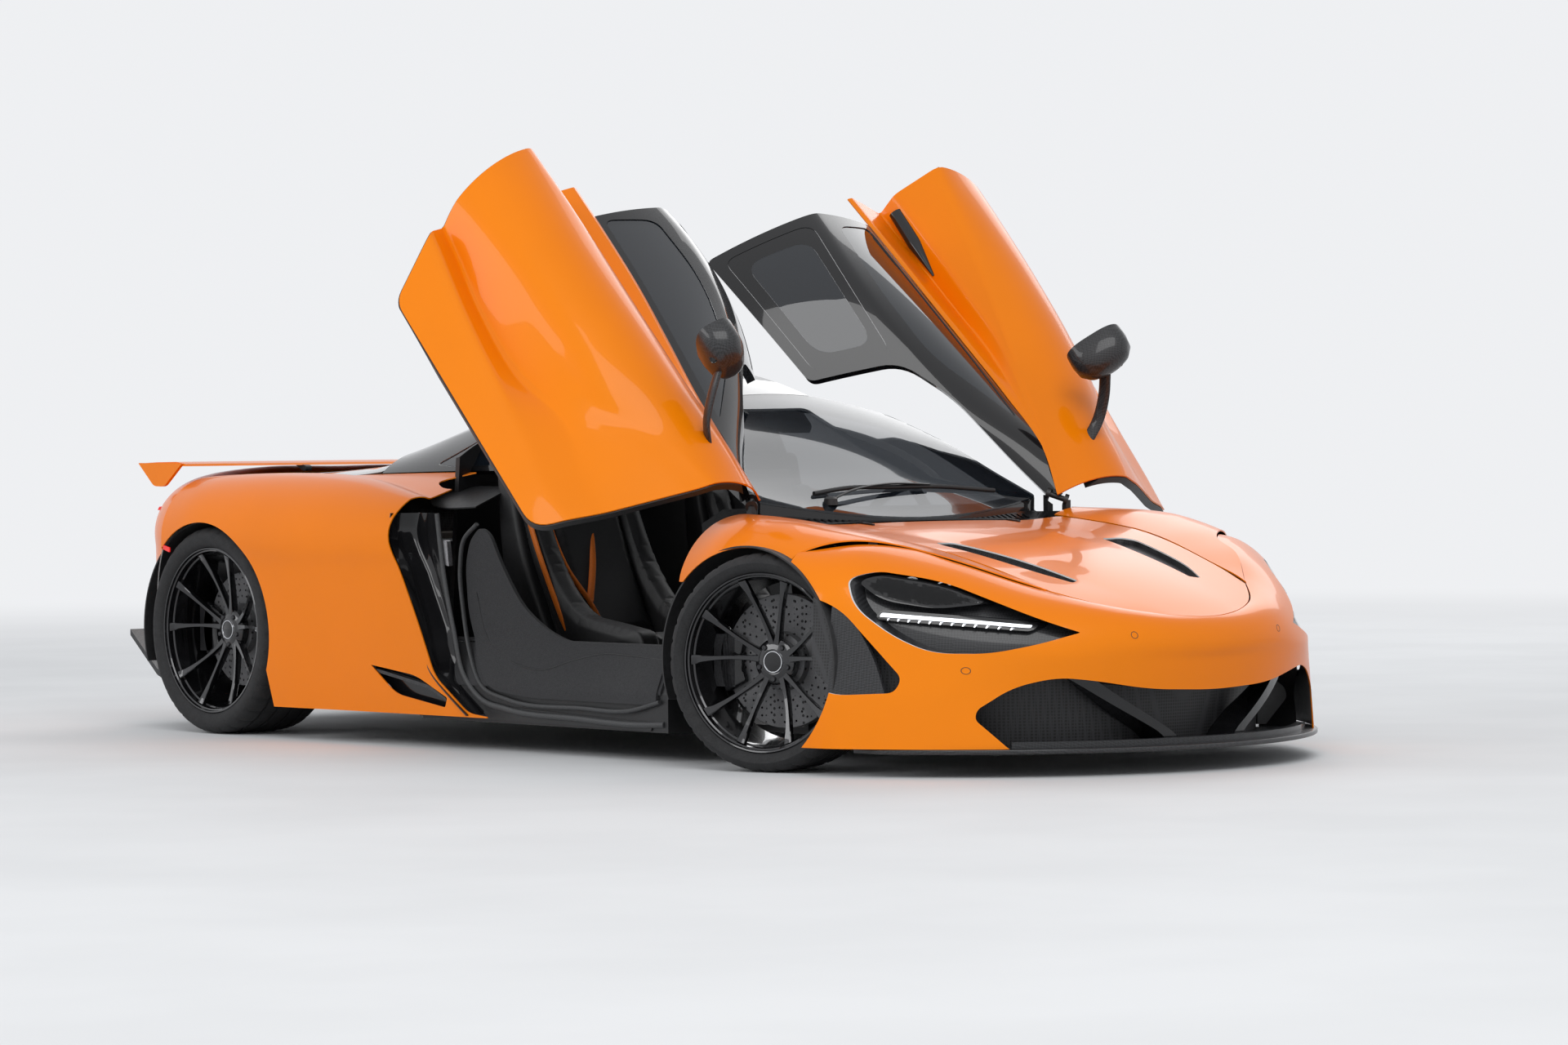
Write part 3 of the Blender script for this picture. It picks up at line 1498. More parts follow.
@dataclass
class Glasshouse:
    """The dome over the cabin: screen, roof spine, canopy and rear glass."""

    rows: tuple[tuple[float, Point2, Point2, Point2, float], ...] = (
        (1380, (618, 736), (590, 727), (545, 712), 690),
        (1440, (640, 752), (610, 746), (565, 735), 724),
        (1600, (672, 778), (630, 800), (560, 808), 824),
        (1850, (660, 790), (606, 874), (505, 938), 985),
        (2083, (636, 815), (578, 930), (470, 1032), 1085),
        (2350, (608, 838), (548, 968), (455, 1090), 1160),
        (2650, (578, 850), (522, 968), (452, 1075), 1164),
        (2850, (558, 852), (504, 952), (440, 1030), 1132),
        (3100, (536, 850), (486, 916), (420, 978), 1063),
        (3400, (514, 845), (458, 886), (390, 915), 975),
        (3700, (500, 838), (440, 860), (350, 868), 895),
    )
    screen: tuple[Point2, ...] = ((576, 1494), (560, 1600), (505, 1851), (425, 2005), (155, 2078))
    opening: tuple[Point2, ...] = ((530, 1520), (508, 1610), (458, 1851), (385, 1975), (150, 2035))
    rear_glass: Corners = (
        (-415, 2765, 40), (415, 2765, 40), (335, 3375, 40), (-335, 3375, 40))
    rear_side: Corners = (
        (2690, 872, 16), (2700, 1000, 30), (2860, 975, 60), (3120, 872, 30), (3000, 864, 60))

    def skin(self) -> Skin:
        """The dome's whole sheet."""
        rows = []
        for s, belt, side, rail, top in self.rows:
            half = [belt, side, rail]
            rows.append((s, [(-w, z) for w, z in half] + [(0, top)] + half[::-1]))
        return Skin(rows, "AAA", 5.0, across, 220, 16, 5)

    @staticmethod
    def wide(outline: Sequence[Point2], front: float, radii: float) -> list[Point2]:
        """A whole outline in plan from its left half, with a bowed front edge.

        Args:
            outline: The left half as (w, s), front corner first.
            front: s of the front edge at the middle.
            radii: Radius of the corners.

        Returns:
            The rounded outline.
        """
        left = [(w, s, radii) for w, s in outline]
        right = [(-w, s, radii) for w, s in outline[::-1]]
        start = np.array((-outline[0][0], outline[0][1]), float)
        bow = arc_through(start, np.array((0.0, front)), np.array(outline[0], float), 16)[1:]
        return rounded(left + right + [(p[0], p[1], 0.0) for p in bow])

    def screen_and_surround(self, skin: Skin) -> bpy.types.Object:
        """Build the windscreen on its dark printed border.

        Args:
            skin: The dome's sheet.

        Returns:
            The surround, still to be joined to the frame.
        """
        edge = self.wide(self.screen, 1405.0, 24.0)
        made = skin.solid("windscreen_glass", Finish.SCREEN)
        cut(made, prism(grown(edge, -1.0), *THROUGH_DOME), "INTERSECT")
        hand_over(smooth(made), "chassis", "glass", "windscreen")
        frame = skin.solid("frame", Finish.GLOSS_BLACK, inset=5.5, wall=33.0)
        cut(frame, prism(edge, *THROUGH_DOME), "INTERSECT")
        cut(frame, prism(self.wide(self.opening, 1455.0, 40.0), *THROUGH_DOME))
        return smooth(frame)

    def canopy(self, skin: Skin) -> list[bpy.types.Object]:
        """Build the rear canopy with its windows.

        Args:
            skin: The dome's sheet.

        Returns:
            The dark frame's pieces.
        """
        spine = skin.solid("spine", Finish.GLOSS_BLACK, inset=0.0, wall=39.0)
        cut(spine, prism(((-155, 2080), (-75, 2660), (75, 2660), (155, 2080)), *THROUGH_DOME), "INTERSECT")
        roof = skin.solid("canopy", Finish.GLOSS_BLACK, inset=0.0, wall=30.0)
        cut(roof, block(-900, 900, 2640, 3420, 400, 1400), "INTERSECT")
        cut(roof, prism(grown(rounded(self.rear_glass), 1.0), *THROUGH_DOME))
        cut(roof, both_sides(prism(rounded(self.rear_side), 380.0, 900.0, "x")))
        ledge = skin.solid("ledge", Finish.GLOSS_BLACK, inset=5.5, wall=33.0)
        cut(ledge, prism(grown(rounded(self.rear_glass), 3.0), *THROUGH_DOME), "INTERSECT")
        cut(ledge, prism(grown(rounded(self.rear_glass), -25.0), *THROUGH_DOME))
        return [smooth(part) for part in (spine, roof, ledge)]

    def dress(self) -> None:
        """Build the glass and the frame of the glasshouse."""
        skin = self.skin()
        parts = [self.screen_and_surround(skin), *self.canopy(skin), self.camera_box(skin)]
        hand_over(joined(parts, "roof_frame_whole"), "chassis", "dark_trim", "upper_frame")
        rear = skin.solid("rear", Finish.DARK_GLASS)
        cut(rear, prism(grown(rounded(self.rear_glass), -1.5), *THROUGH_DOME), "INTERSECT")
        panes = skin.solid("panes", Finish.DARK_GLASS, inset=3.0)
        cut(panes, both_sides(prism(grown(rounded(self.rear_side), -0.8), 380.0, 900.0, "x")), "INTERSECT")
        hand_over(joined([smooth(rear), smooth(panes)], "rear_glass_pane"), "chassis", "glass", "rear_screen")
        self.cowl()
        self.wiper(skin)

    @staticmethod
    def on_glass(grid: np.ndarray, w: float, s: float, lift: float) -> tuple[float, float, float]:
        """Point over the glass.

        Args:
            grid: The dome's points as rows.
            w: Place across.
            s: Place along.
            lift: Height over the glass.

        Returns:
            The point as w, s, z.
        """
        near = grid[np.argmin((grid[:, 0] - w) ** 2 + (grid[:, 1] - s) ** 2)]
        return w, s, float(near[2]) + lift

    def camera_box(self, skin: Skin) -> bpy.types.Object:
        """Build the dark sensor box and mirror foot behind the head of the screen."""
        top = self.on_glass(skin.grid().reshape(-1, 3), 0.0, 2020.0, -14.0)[2]
        outline = rounded(((1950, top - 62, 10), (1962, top - 86, 10), (2050, top - 66, 20),
                           (2056, top + 6, 6), (2000, top - 10, 20)))
        return smooth(prism(outline, -52.0, 52.0, "x", "sensor_box", Finish.SATIN_BLACK), 40.0)

    def cowl(self) -> None:
        """Build the dark louvred panel between lid and screen."""
        shelf = prism(((-560, 1400), (560, 1400), (575, 1466), (-575, 1466)), 640.5, 652.0, "z", "shelf",
                      Finish.SATIN_BLACK)
        parts = [shelf]
        for w in (-300.0, 300.0):
            for low, high in ((w - 16, w - 6), (w + 6, w + 16)):
                parts.append(prism(((1378, 682), (1392, 682), (1430, 652), (1430, 641), (1400, 641)), low,
                                   high, "x", "lug", Finish.DARK_ALLOY))
        hand_over(joined(parts, "cowl_panel"), "chassis", "dark_trim", "cowl")
        rows = ((1402, ((-556, 684), (0, 694), (556, 684))), (1466, ((-586, 712), (0, 716), (586, 712))))
        grille = Skin(rows, "A", 3.0, across, 20, 60, 0).solid("cowl_grille", Finish.GLOSS_BLACK)
        slots = [prism(rounded(((w, 1414, 5), (w + 12, 1414, 5), (w + 12, 1450, 5), (w, 1450, 5))), 600.0,
                       800.0, "z") for w in range(-480, 480, 24)]
        cut(grille, joined(slots, "tool"))
        hand_over(smooth(grille), "chassis", "dark_trim")

    def wiper(self, skin: Skin) -> None:
        """Build the single wiper at rest along the foot of the screen.

        Args:
            skin: The dome's sheet.
        """
        grid = skin.grid().reshape(-1, 3)
        arm = [self.on_glass(grid, w, s, lift)
               for w, s, lift in ((-300, 1478, 12), (-200, 1502, 20), (-20, 1530, 26), (160, 1540, 16))]
        blade = [self.on_glass(grid, w, s, lift) for w, s, lift in
                 ((-330, 1520, 8), (-180, 1535, 9), (0, 1542, 9), (200, 1540, 9), (420, 1522, 8))]
        cap = ring_solid("cap", [(0.1, 12.0), (13.0, 11.0), (20.0, 5.0), (21.0, -14.0), (0.1, -14.0)],
                         Finish.SATIN_BLACK, 32)
        foot = at(*self.on_glass(grid, -300, 1478, 12))
        cap.data.transform(Matrix.Translation(foot) @ turned(-90.0, "Y"))
        parts = [tube("arm", curve_through(arm, 24), 7.0, Finish.SATIN_BLACK, 0.5, 10),
                 tube("blade", curve_through(blade, 40), 6.0, Finish.SATIN_BLACK, 1.2, 10), smooth(cap)]
        hand_over(joined(parts, "wiper"), "chassis", "dark_trim")


# The doors


@dataclass
class Door:
    """One door, modelled closed on the left side, then turned up to where it stands."""

    stations: tuple[Row, ...] = (
        (1442, ((632, 783), (635, 782), (637, 781), (639, 780), (640, 780), (770, 735), (848, 650),
                (864, 560), (880, 330), (892, 230), (898, 106))),
        (1620, ((672, 781), (676, 780), (678, 779), (680, 778), (684, 776), (805, 730), (874, 600),
                (880, 520), (884, 330), (908, 208), (906, 106))),
        (1850, ((662, 790), (674, 784), (692, 770), (712, 770), (724, 766), (838, 722), (898, 470),
                (888, 400), (880, 360), (918, 235), (911, 110))),
        (2050, ((642, 810), (656, 802), (690, 738), (732, 756), (762, 760), (865, 716), (913, 462),
                (870, 345), (876, 318), (928, 256), (917, 114))),
        (2300, ((616, 834), (630, 826), (668, 712), (722, 748), (806, 754), (888, 706), (925, 462),
                (868, 342), (874, 326), (940, 282), (924, 122))),
        (2560, ((590, 846), (604, 838), (646, 700), (714, 740), (848, 748), (903, 697), (928, 446),
                (878, 372), (886, 360), (952, 318), (930, 128))),
        (2770, ((568, 851), (582, 843), (628, 696), (706, 735), (876, 738), (912, 690), (925, 430),
                (905, 385), (910, 376), (957, 345), (935, 136))),
    )
    outline: Corners = (
        (1450, 900, 0), (2760, 900, 0), (2757, 738, 20), (2659, 409, 60), (2575, 299, 60), (2441, 127, 40),
        (1558, 118, 60), (1506, 330, 120), (1450, 600, 60))
    roof: Corners = (
        (165, 2094, 24), (436, 2019, 60), (517, 1864, 60), (572, 1612, 80), (604, 1490, 10), (640, 1470, 0),
        (900, 1470, 0), (900, 2630, 0), (85, 2630, 24))
    side_window: Corners = (
        (1740, 806, 30), (2010, 975, 90), (2300, 1040, 120), (2572, 1022, 40), (2606, 868, 30),
        (2350, 858, 200), (2083, 836, 200))
    roof_window: Corners = (
        (196, 2108, 36), (430, 2048, 50), (430, 2588, 50), (132, 2596, 40))
    pane: Corners = (
        (232, 2150, 60), (400, 2106, 60), (396, 2530, 60), (182, 2544, 60))
    rail: float = 26.0

    def lower_skin(self, first: int = 0) -> Skin:
        """The sheet of the door's painted flank, from a point of its sections outward."""
        rows = tuple((s, points[first:]) for s, points in self.stations)
        return Skin(rows, ("LLLL" + "ALLLL")[first:], 5.0, across, 112, 10, 2)

    def flank(self) -> list[bpy.types.Object]:
        """Build the painted flank, its black core, the inner card, the armrest, the strap and the piping.

        Returns:
            The parts, still to be joined.
        """
        outer = self.lower_skin().solid("flank", Finish.ORANGE, Finish.SATIN_BLACK)
        cut(outer, prism(rounded(self.outline), *THROUGH_FLANK), "INTERSECT")
        core = self.lower_skin(4).solid("core", Finish.SATIN_BLACK, inset=6.0, wall=24.0)
        cut(core, prism(grown(rounded(self.outline), 4.0), *THROUGH_FLANK), "INTERSECT")
        cut(core, block(600, 1000, 1400, 2900, 104, 730), "INTERSECT")
        card = self.lower_skin(4).solid("card", Finish.BLACK_SUEDE, inset=30.0, wall=5.0)
        cut(card, prism(grown(rounded(self.outline), -48.0), *THROUGH_FLANK), "INTERSECT")
        cut(card, block(600, 1000, 1500, 2680, 150, 690), "INTERSECT")
        pod = tube("pod", curve_through(((672, 2420, 716), (676, 2560, 722), (676, 2700, 724)), 24), 24.0,
                   Finish.GLOSS_BLACK, 0.62, 20, swell=(0.15, 1.0, 0.9))
        strip = tube("strap", curve_through(((862, 1900, 610), (848, 2020, 622), (862, 2140, 600)), 20), 9.0,
                     Finish.LEATHER, 0.5, 12)
        line = [(866, s, 640 - 0.05 * (s - 1700)) for s in range(1700, 2600, 60)]
        piping = tube("piping", line, 4.0, Finish.ORANGE_HIDE, 1.0, 8)
        return [smooth(outer), smooth(core), smooth(card), pod, strip, piping]

    def upper(self, dome: Skin) -> bpy.types.Object:
        """Build the black frame over the flank, with its two window openings.

        Args:
            dome: The sheet of the glasshouse.

        Returns:
            The frame.
        """
        frame = dome.solid("frame", Finish.GLOSS_BLACK, Finish.SATIN_BLACK, wall=self.rail)
        cut(frame, prism(rounded(self.roof), *THROUGH_DOME), "INTERSECT")
        cut(frame, prism(rounded(self.side_window), 350.0, 1000.0, "x"))
        cut(frame, prism(rounded(self.roof_window), *THROUGH_ROOF))
        return smooth(frame)

    def glass(self, dome: Skin) -> bpy.types.Object:
        """Build the side glass, the roof glass and the clearer pane in it.

        Args:
            dome: The sheet of the glasshouse.

        Returns:
            The panes as one piece.
        """
        side = dome.solid("side", Finish.DARK_GLASS, inset=3.0)
        cut(side, prism(grown(rounded(self.side_window), -0.6), 350.0, 1000.0, "x"), "INTERSECT")
        roof = dome.solid("roof", Finish.GLOSS_BLACK, inset=1.5)
        cut(roof, prism(grown(rounded(self.roof_window), -0.6), *THROUGH_ROOF), "INTERSECT")
        cut(roof, prism(rounded(self.pane), *THROUGH_ROOF))
        clear = dome.solid("clear", Finish.DARK_GLASS, inset=1.5)
        cut(clear, prism(grown(rounded(self.pane), -0.2), *THROUGH_ROOF), "INTERSECT")
        return joined([smooth(side), smooth(roof), smooth(clear)], "door_glass")

    @staticmethod
    def mirror_ring(wide: float, high: float, bend: float) -> list[Point2]:
        """Outline round the mirror's middle, between an ellipse and a box.

        Args:
            wide: Half its width.
            high: Half its height.
            bend: Exponent of the outline: 1 gives an ellipse, less a boxier form.

        Returns:
            The points as (w, z).
        """
        ring = []
        for k in range(40):
            t = 2 * math.pi * k / 40
            c, d = math.cos(t), math.sin(t)
            ring.append((980 + wide * math.copysign(abs(c) ** bend, c),
                         852 + high * math.copysign(abs(d) ** bend, d)))
        return ring

    def mirror(self) -> bpy.types.Object:
        """Build the mirror: shell, glass, camera and stalk.

        Returns:
            The mirror.
        """
        path = curve_through(((800, 1600, 706), (862, 1632, 722), (920, 1672, 765), (962, 1712, 815)), 24)
        stalk = tube("stalk", path, 20.0, Finish.CARBON, 0.42, 20)
        rows = ((1688, 20, 12, 2.0), (1692, 48, 30, 2.2), (1704, 72, 44, 2.4), (1730, 92, 58, 2.6),
                (1765, 97, 62, 2.8), (1798, 95, 61, 3.0))
        rings = [[at(w, s, z) for w, z in self.mirror_ring(wide, high, 2 / power)]
                 for s, wide, high, power in rows]
        points = [p for ring in rings for p in ring]
        shell = smooth(new_object("shell", points, ring_faces(len(rings), 40, False), Finish.CARBON), 40.0)
        glass = prism(self.mirror_ring(86, 52, 0.67), 1797.0, 1799.5, "y", "pane", Finish.SILVER)
        eye = ring_solid("eye", [(0.1, 2.0), (7.0, 1.6), (8.5, 0.0), (11.0, 1.8), (13.0, 0.5), (13.0, -8.0),
                                 (0.1, -8.0)], Finish.GLOSS_BLACK, 32)
        eye.data.transform(Matrix.Translation(at(1024, 1716, 806)) @ turned(-35.0, "Z") @ turned(35.0, "Y"))
        return joined([stalk, shell, glass, smooth(eye)], "mirror")

    def dress(self, dome: Skin) -> None:
        """Build both doors and turn them up.

        Args:
            dome: The sheet of the glasshouse.
        """
        swing = door_opening()
        shell = joined([*self.flank(), self.upper(dome)], "door_shell_left")
        for made, slot, node in ((shell, "paint", "door"), (self.glass(dome), "glass", "door_glass"),
                                 (self.mirror(), "mirror_shell", "door_mirror")):
            made.name = node + "_piece_left"
            made.data.transform(swing)
            right = mirrored(made, node + "_piece_right")
            hand_over(made, "door_left", slot, node + "_left")
            hand_over(right, "door_right", slot, node + "_right")


# The rear


@dataclass
class Quarter:
    """The painted rear quarters with their intakes and the trim round the door's opening."""

    stations: tuple[Row, ...] = (
        (2340, ((610, 832), (790, 738), (820, 741), (852, 736), (893, 690), (925, 560), (915, 100))),
        (2650, ((581, 844), (820, 748), (848, 750), (872, 745), (905, 705), (934, 560), (922, 100))),
        (2850, ((561, 847), (775, 776), (822, 784), (865, 776), (912, 735), (944, 560), (928, 100))),
        (3100, ((539, 846), (690, 806), (765, 822), (838, 816), (924, 750), (955, 560), (935, 100))),
        (3400, ((517, 842), (595, 832), (715, 844), (820, 838), (934, 758), (965, 560), (950, 100))),
        (3700, ((503, 836), (515, 835.5), (670, 848), (800, 844), (932, 766), (968, 600), (958, 100))),
        (3900, ((500, 836), (510, 835.5), (655, 845), (780, 841), (918, 772), (963, 630), (958, 100))),
        (4080, ((498, 836), (508, 835), (640, 841), (755, 835), (885, 775), (945, 640), (945, 100))),
    )
    outline: Corners = (
        (2766, 900, 0), (2790, 790, 30), (2822, 670, 60), (2745, 520, 80), (2672, 371, 60), (2608, 227, 40),
        (2450, 119, 30), (2358, 110, 2), (2358, 103, 0), (3420, 102, 0), (3480, 300, 0), (4058, 330, 0),
        (4058, 900, 0))
    slot: Corners = (
        (2922, 252, 10), (2700, 225, 40), (2549, 160, 8), (2560, 130, 8), (2800, 165, 40))
    scoop: Corners = (
        (556, 2690, 0), (700, 2690, 0), (716, 2830, 60), (640, 2960, 60), (556, 2860, 20))
    recess: Corners = (
        (112, 2440, 2400), (160, 2515, 2462), (227, 2608, 2540), (371, 2672, 2596), (520, 2745, 2640),
        (670, 2822, 2668), (724, 2812, 2674))

    def skin(self) -> Skin:
        """The left quarter's whole sheet."""
        return Skin(self.stations, "LAAL", 4.0, across, 170, 16, 3)

    def panel(self) -> bpy.types.Object:
        """Build the painted quarter.

        Returns:
            The left quarter.
        """
        made = self.skin().solid("haunch_left", Finish.ORANGE, Finish.SATIN_BLACK)
        cut(made, prism(grown(rounded(self.outline), -1.5), *THROUGH_FLANK), "INTERSECT")
        cut(made, prism(ellipse(*REAR_ARCH), *THROUGH_ARCH))
        cut(made, prism(rounded(self.slot), *THROUGH_SKIN))
        return smooth(cut(made, prism(rounded(self.scoop), *THROUGH_DECK)))

    def intake(self) -> bpy.types.Object:
        """Build the dark recess behind the door with the scoop's and the slot's ducts.

        Returns:
            The left recess with its ducts.
        """
        rows = tuple((z, ((926, lead + 8), (892, lead + 4), (846, lead - 22), (836, (lead + seal) / 2 + 6),
                          (838, seal + 16), (855, seal))) for z, lead, seal in self.recess)
        wall = Skin(rows, "LLLLL", 4.0, upright, 90, 10, 3).solid("wall", Finish.GLOSS_BLACK)
        skin = self.skin()
        scoop = skin.solid("scoop", Finish.SATIN_BLACK, inset=46.0, wall=4.0)
        cut(scoop, prism(grown(rounded(self.scoop), 26.0), *THROUGH_DECK), "INTERSECT")
        slot = skin.solid("slot", Finish.GLOSS_BLACK, inset=34.0, wall=4.0)
        cut(slot, prism(grown(rounded(self.slot), 24.0), *THROUGH_SKIN), "INTERSECT")
        vane = skin.solid("vane", Finish.CARBON, inset=5.0, wall=22.0)
        cut(vane, prism(rounded(((2900, 240, 6), (2640, 196, 20), (2560, 158, 6), (2562, 150, 6),
                                 (2645, 186, 20), (2902, 230, 6))), *THROUGH_SKIN), "INTERSECT")
        blade = prism(rounded(((2690, 300, 60), (2740, 470, 60), (2786, 600, 60), (2796, 600, 10),
                               (2752, 470, 60), (2704, 300, 60), (2640, 210, 20), (2628, 210, 10))), 842.0,
                      880.0, "x", "blade", Finish.CARBON)
        return joined([smooth(wall), smooth(scoop), smooth(slot), smooth(vane), smooth(blade)],
                      "intake_recess_left")

    def opening_trim(self) -> bpy.types.Object:
        """Build the rubber seals round the door's opening, the suede pillar pad and the tread plate.

        Returns:
            The left opening's trim.
        """
        outer = curve_through(((856, 2676, 722), (856, 2668, 670), (857, 2640, 520), (860, 2594, 371),
                               (864, 2538, 227), (868, 2450, 158), (870, 2320, 132), (870, 1980, 116),
                               (868, 1700, 108), (862, 1588, 112)), 120)
        inner = curve_through(((806, 2540, 690), (812, 2600, 640), (817, 2612, 560), (820, 2594, 420),
                               (838, 2540, 296), (868, 2440, 196), (875, 2300, 160), (875, 1960, 148),
                               (873, 1720, 150), (868, 1600, 178)), 120)
        rows = ((1600, ((874, 148), (872, 205), (816, 336), (806, 480), (802, 690))),
                (2640, ((874, 148), (872, 205), (816, 336), (806, 480), (802, 690))))
        pad = Skin(rows, "LLLL", 12.0, across, 30, 16, 6).solid("pad", Finish.SUEDE)
        cut(pad, prism(rounded(((1612, 168, 10), (2210, 170, 60), (2400, 188, 60), (2520, 296, 60),
                                (2584, 420, 60), (2602, 560, 60), (2580, 640, 60), (2530, 682, 30),
                                (2482, 660, 30), (2420, 560, 60), (2324, 446, 60), (2200, 376, 60),
                                (2088, 340, 60), (1612, 340, 10))), 700.0, 900.0, "x"), "INTERSECT")
        tread = prism(rounded(((2430, 150, 8), (2300, 139, 60), (1960, 126, 60), (1690, 118, 10),
                               (1640, 118, 10), (1640, 92, 10), (2440, 96, 10))), 858.0, 867.0, "x",
                      "tread", Finish.SATIN_BLACK)
        latch = prism(rounded(((2622, 560, 6), (2650, 566, 6), (2660, 640, 6), (2632, 640, 6))), 838.0,
                      853.0, "x", "latch", Finish.ALLOY)
        seam = curve_through(((807, 2544, 480), (816, 2481, 345), (847, 2276, 264), (851, 2170, 255),
                              (837, 2038, 286), (828, 1915, 308), (829, 1754, 306), (830, 1630, 300)), 90)
        parts = [tube("outer", outer, 9.0, Finish.SEAL, 0.8, 12),
                 tube("inner", inner, 8.0, Finish.SEAL, 0.8, 12),
                 tube("seam", seam, 2.0, Finish.LEATHER, 1.0, 6), smooth(pad), smooth(tread), smooth(latch)]
        return joined(parts, "door_opening_trim_left")

    def dress(self) -> None:
        """Build both rear quarters with their ducts and trim."""
        pair(self.panel(), "paint", "quarter")
        intake, trim = self.intake(), self.opening_trim()
        pair(intake, "dark_trim")
        pair(trim, "cabin_trim")
        marks = self.skin().solid("side_marks", Finish.LAMP_RED, inset=-1.0, wall=4.0)
        cut(marks, prism(rounded(((3998, 590, 5), (4044, 600, 5), (4044, 614, 5), (3998, 606, 5))),
                         *THROUGH_SKIN), "INTERSECT")
        pair(smooth(marks), "lamp")


@dataclass
class Tail:
    """The painted tail with its lamps, mesh, exhausts, diffuser, wing and deck."""

    stations: tuple[Row, ...] = (
        (0.0, ((660, 850), (868, 800), (885, 640), (860, 330))),
        (22.0, ((700, 848), (908, 800), (920, 640), (905, 330))),
        (40.0, ((790, 842), (970, 785), (995, 630), (985, 330))),
        (56.0, ((850, 826), (1000, 755), (1030, 610), (1030, 330))),
        (72.0, ((880, 790), (985, 740), (1020, 600), (1025, 330))),
    )
    opening: Corners = (
        (-560, 690, 40), (-480, 420, 50), (480, 420, 50), (560, 690, 40))
    lamp: tuple[float, float, float, float] = (330.0, 840.0, 722.0, 738.0)
    pipe_w: float = 95.0
    pipe_radius: float = 58.0

    def skin(self) -> Skin:
        """The tail's whole sheet."""
        return Skin(both_ways(self.stations), "AL", 4.0, fanned_back, 180, 16, 3)

    def bumper(self) -> None:
        """Build the painted tail and the mesh behind its opening."""
        skin = self.skin()
        made = skin.solid("tail_skin", Finish.ORANGE, Finish.SATIN_BLACK)
        cut(made, prism(rounded(self.opening), *THROUGH_TAIL))
        cut(made, block(-1050, 1050, 4062, 4750, 0, 1000), "INTERSECT")
        cut(made, both_sides(prism(ellipse(*REAR_ARCH), *THROUGH_ARCH)))
        hand_over(smooth(made), "chassis", "paint", "rear_bumper")
        mesh = skin.solid("tail_mesh", Finish.MESH, inset=26.0, wall=3.0)
        cut(mesh, prism(grown(rounded(self.opening), 20.0), *THROUGH_TAIL), "INTERSECT")
        for w in (-self.pipe_w, self.pipe_w):
            ring = [(w + 66 * math.cos(t), 560 + 66 * math.sin(t))
                    for t in np.linspace(0, 2 * math.pi, 48, False)]
            cut(mesh, prism(ring, *THROUGH_TAIL))
        hand_over(smooth(mesh), "chassis", "dark_trim")

    def lamps(self) -> None:
        """Build the slim lamps."""
        low, high, z0, z1 = self.lamp
        outline = rounded(((low, z0, 3), (high, z0 + 4, 7), (high, z1, 7), (low, z1, 3)))
        made = self.skin().solid("tail_lights", Finish.LAMP_RED, inset=-7.0, wall=7.0)
        cut(made, both_sides(prism(outline, 4060.0, 4700.0, "y")), "INTERSECT")
        hand_over(smooth(made), "chassis", "lamp", "tail_lamps")

    def pipes(self) -> None:
        """Build the tailpipes with turned-out lips."""
        parts = []
        for w in (-self.pipe_w, self.pipe_w):
            r = self.pipe_radius
            line = [(r - 5, 0.0), (r - 5, 548.0), (r - 3, 556.0), (r - 1, 558.0), (r, 556.0), (r, 10.0)]
            pipe = smooth(ring_solid("pipe", line, Finish.STEEL, 72), 40.0)
            pipe.data.transform(Matrix.Translation(at(w, 3950, 560)) @ turned(90.0, "Z"))
            parts.append(pipe)
            back = prism([(w + (r - 5) * math.cos(t), 560 + (r - 5) * math.sin(t))
                          for t in np.linspace(0, 2 * math.pi, 40, False)], 4250.0, 4256.0, "y", "back",
                         Finish.SATIN_BLACK)
            parts.append(back)
        box = prism(((-220, 3701), (220, 3701), (220, 3960), (-220, 3960)), 480.0, 640.0, "z", "box",
                    Finish.STEEL)
        parts.append(box)
        hand_over(joined(parts, "exhaust_pipes"), "chassis", "pipe_metal", "exhausts")

    def diffuser(self) -> None:
        """Build the woven diffuser with its fins."""
        floor = prism(((4180, 110), (4340, 170), (4500, 300), (4500, 320), (4340, 190), (4180, 130)), -780,
                      780, "x", "floor", Finish.CARBON)
        parts = [floor]
        for w in (-520, -260, 0, 260, 520):
            parts.append(prism(rounded(((4190, 114, 4), (4390, 132, 60), (4502, 236, 20), (4502, 306, 4),
                                        (4190, 120, 2))), w - 4, w + 4, "x", "fin", Finish.CARBON))
        hand_over(joined(parts, "diffuser_tray"), "chassis", "dark_trim", "diffuser")

    def wing(self) -> None:
        """Build the moving wing with its turned-down ends."""
        top = [(4116, 872), (4124, 880), (4180, 887), (4290, 886), (4388, 883), (4394, 879), (4388, 875),
               (4290, 873), (4180, 873)]
        blade = prism(top, -803, 803, "x", "blade", Finish.ORANGE)
        parts = [smooth(blade, 40.0)]
        for low in (-812.0, 800.0):
            parts.append(prism(rounded(((4132, 882, 8), (4392, 884, 6), (4300, 806, 16), (4240, 804, 16))),
                               low, low + 12.0, "x", "end", Finish.ORANGE))
        for w in (-320.0, 320.0):
            parts.append(prism(rounded(((4096, 853, 8), (4096, 870, 8), (4160, 880, 4), (4160, 875, 4),
                                        (4116, 853, 8))), w - 12, w + 12, "x", "eye", Finish.DARK_ALLOY))
        hand_over(joined(parts, "wing_blade"), "rear_wing", "paint", "rear_wing")

